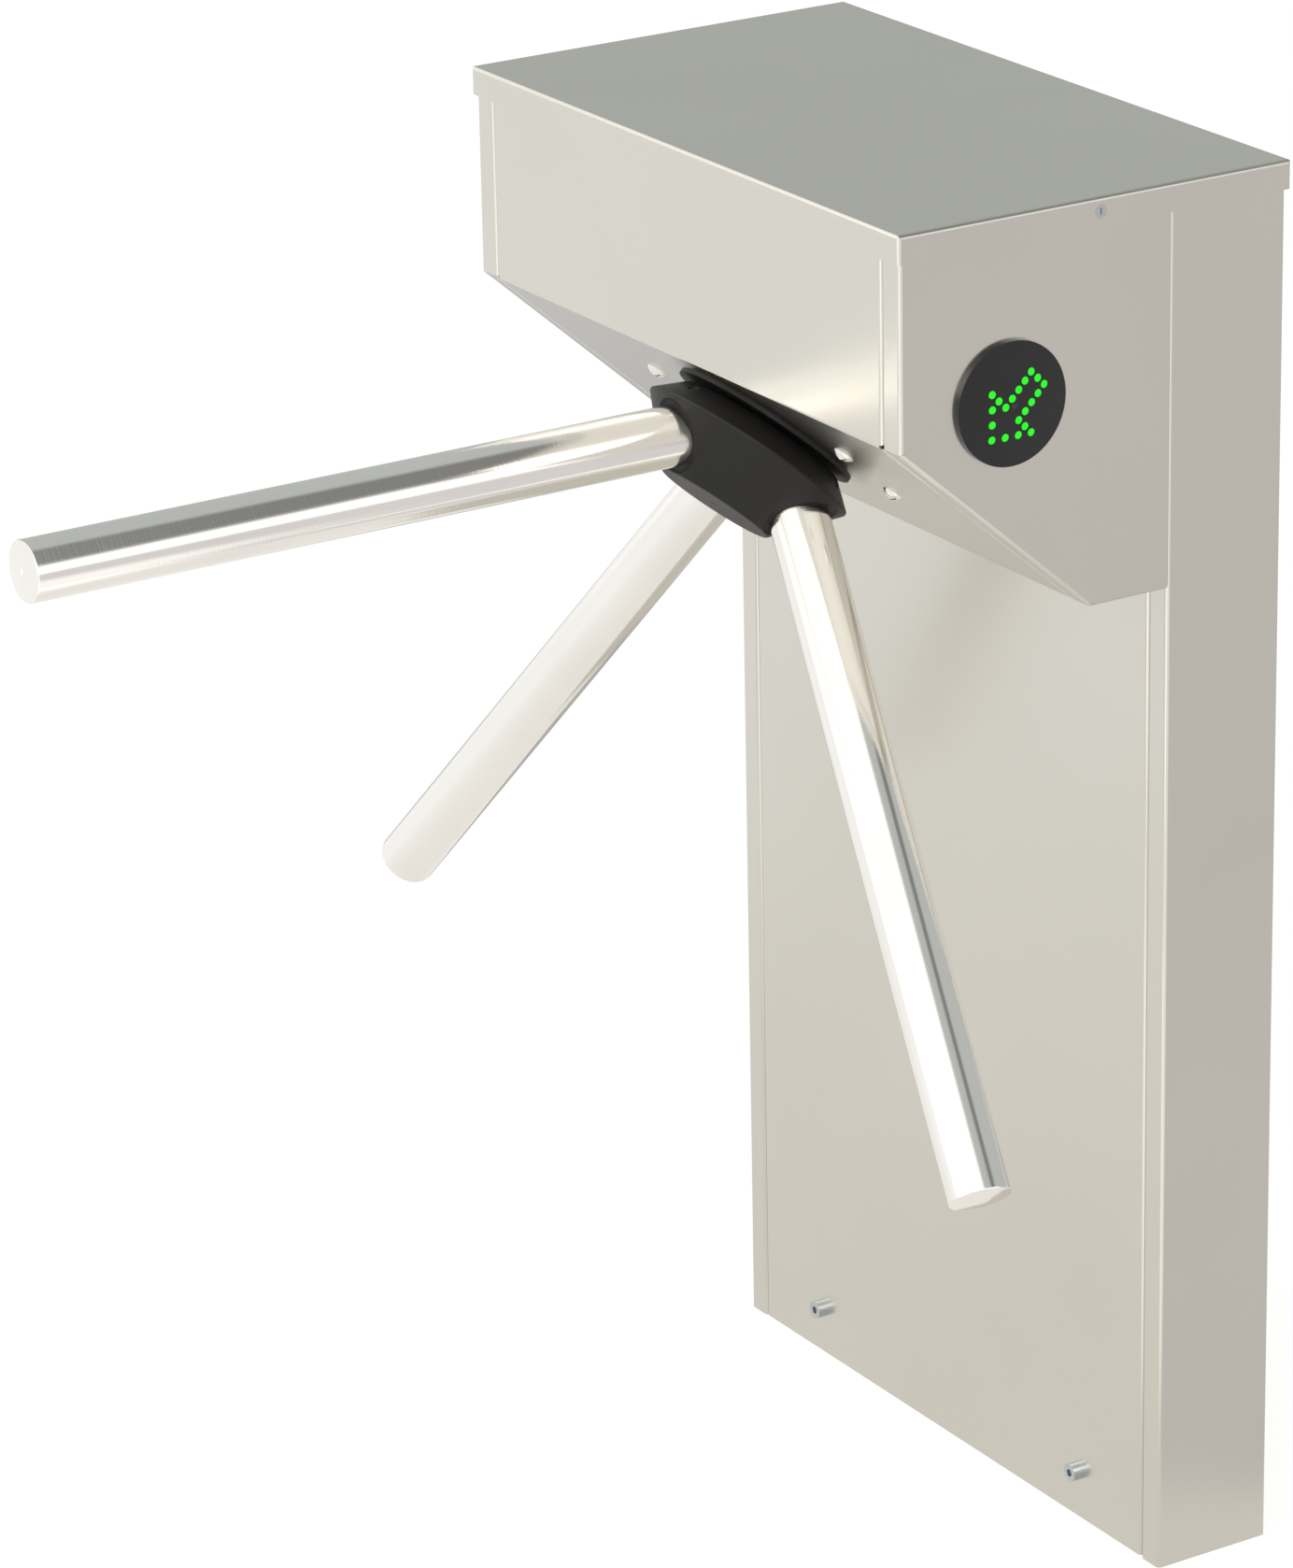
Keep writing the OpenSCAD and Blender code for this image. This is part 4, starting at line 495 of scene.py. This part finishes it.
lamp, tree, place = new_material("green_lamp")
haze = add(tree, "TexNoise", {"Vector": place, "Scale": LAMP_HAZE_PER_M, "Detail": PLAIN_DETAIL})
shine = add(tree, "Mix", {0: haze.outputs["Fac"], 6: linear(LAMP_GREEN), 7: linear(LAMP_GREEN_WARM)},
            data_type="RGBA")
skin = add(tree, "BsdfPrincipled", {"Base Color": linear(LAMP_BODY), "Roughness": LAMP_ROUGH,
                                    "Emission Color": shine.outputs[2], "Emission Strength": LAMP_GLOW})
add(tree, "OutputMaterial", {"Surface": skin.outputs[0]})
dress(lamp, "indicator_leds")

# Shield disc, hub and cap: cast aluminium in a fine black coat with a dull gloss. A zinc-plated
# bolt under the cap holds the hub on the shaft.
BLACK_TONES = ("#151413", "#1d1c1b")
BLACK_ROUGH = (0.46, 0.56)
BLACK_GRAINS_PER_M = 1 / 0.0013
BLACK_RELIEF = (0.15, 0.0001)
BLACK_SPECULAR = 0.32

black = grained("black_satin_coat", BLACK_TONES, BLACK_ROUGH, BLACK_GRAINS_PER_M, FINE_DETAIL,
                specular=BLACK_SPECULAR, relief=BLACK_RELIEF)
dress(black, "shield_disc", "hub", "hub_cap")
dress(zinc, "hub_bolt")

# Arms and end caps: round stainless tube, polished on a belt that ran round it and left fine rings,
# drawn coarser than real, so that they show as faint streaks. A plug in each tube's root and a set
# screw hold it in the hub. Each arm leans from the shaft as far as the shaft slopes: one lies level.
POLISHED = "#f4f2ee"
POLISHED_SHADE = "#ebe8e3"
POLISHED_ROUGH = (0.09, 0.17)
POLISHED_CLOUDS_PER_M = 9.0
RINGS_PER_M = 1 / 0.0014
RING_STRENGTH = 1.0
RING_DEPTH = 0.00003
SHAFT_TILT = math.radians(48.7734)
ARM_TURNS = {"level_arm": 90, "left_arm": 210, "right_arm": 330}
CAP_AXIS = (0.0, 0.0, 1.0)


def polished_tube(name, axis):
    """Polished stainless steel with faint rings round an axis."""
    material, tree, place = new_material(name)
    along = add(tree, "VectorMath", {0: place, 1: axis}, operation="DOT_PRODUCT").outputs["Value"]
    rings = add(tree, "TexNoise", {"W": along, "Scale": RINGS_PER_M, "Detail": FINE_DETAIL},
                noise_dimensions="1D").outputs["Fac"]
    cloud = add(tree, "TexNoise", {"Vector": place, "Scale": POLISHED_CLOUDS_PER_M, "Detail": FINE_DETAIL})
    tone = add(tree, "Mix", {0: cloud.outputs["Fac"], 6: linear(POLISHED), 7: linear(POLISHED_SHADE)},
               data_type="RGBA")
    gloss = add(tree, "MapRange", {"Value": rings, "To Min": POLISHED_ROUGH[0], "To Max": POLISHED_ROUGH[1]})
    lines = add(tree, "Bump", {"Height": rings, "Strength": RING_STRENGTH, "Distance": RING_DEPTH})
    skin = add(tree, "BsdfPrincipled", {"Base Color": tone.outputs[2], "Metallic": 1.0,
                                        "Roughness": gloss.outputs["Result"],
                                        "Normal": lines.outputs["Normal"]})
    add(tree, "OutputMaterial", {"Surface": skin.outputs[0]})
    return material


shaft_way = Vector((0, -math.cos(SHAFT_TILT), -math.sin(SHAFT_TILT)))
up_slant = Vector((0, -math.sin(SHAFT_TILT), math.cos(SHAFT_TILT)))
for arm, degrees in ARM_TURNS.items():
    turned = math.radians(degrees)
    round_way = Vector((math.cos(turned), 0, 0)) + up_slant * math.sin(turned)
    axis = shaft_way * math.cos(SHAFT_TILT) + round_way * math.sin(SHAFT_TILT)
    dress(polished_tube("polished_" + arm, tuple(axis)), arm)
dress(polished_tube("polished_caps", CAP_AXIS), "arm_end_caps")
dress(zinc, "arm_root_plugs", "arm_set_screws")

# Lid: satin stainless steel sheet with a short flange folded down all round, laid over the head
# and the post. Its grit lines run from side to side. A zinc-plated lock in its right flange turns
# a tongue under the cheek.
lid_satin = satin_steel("satin_stainless_lid", (ALONG_GRIT, ACROSS_GRIT, ACROSS_GRIT))
dress(lid_satin, "lid")
dress(zinc, "lid_lock")
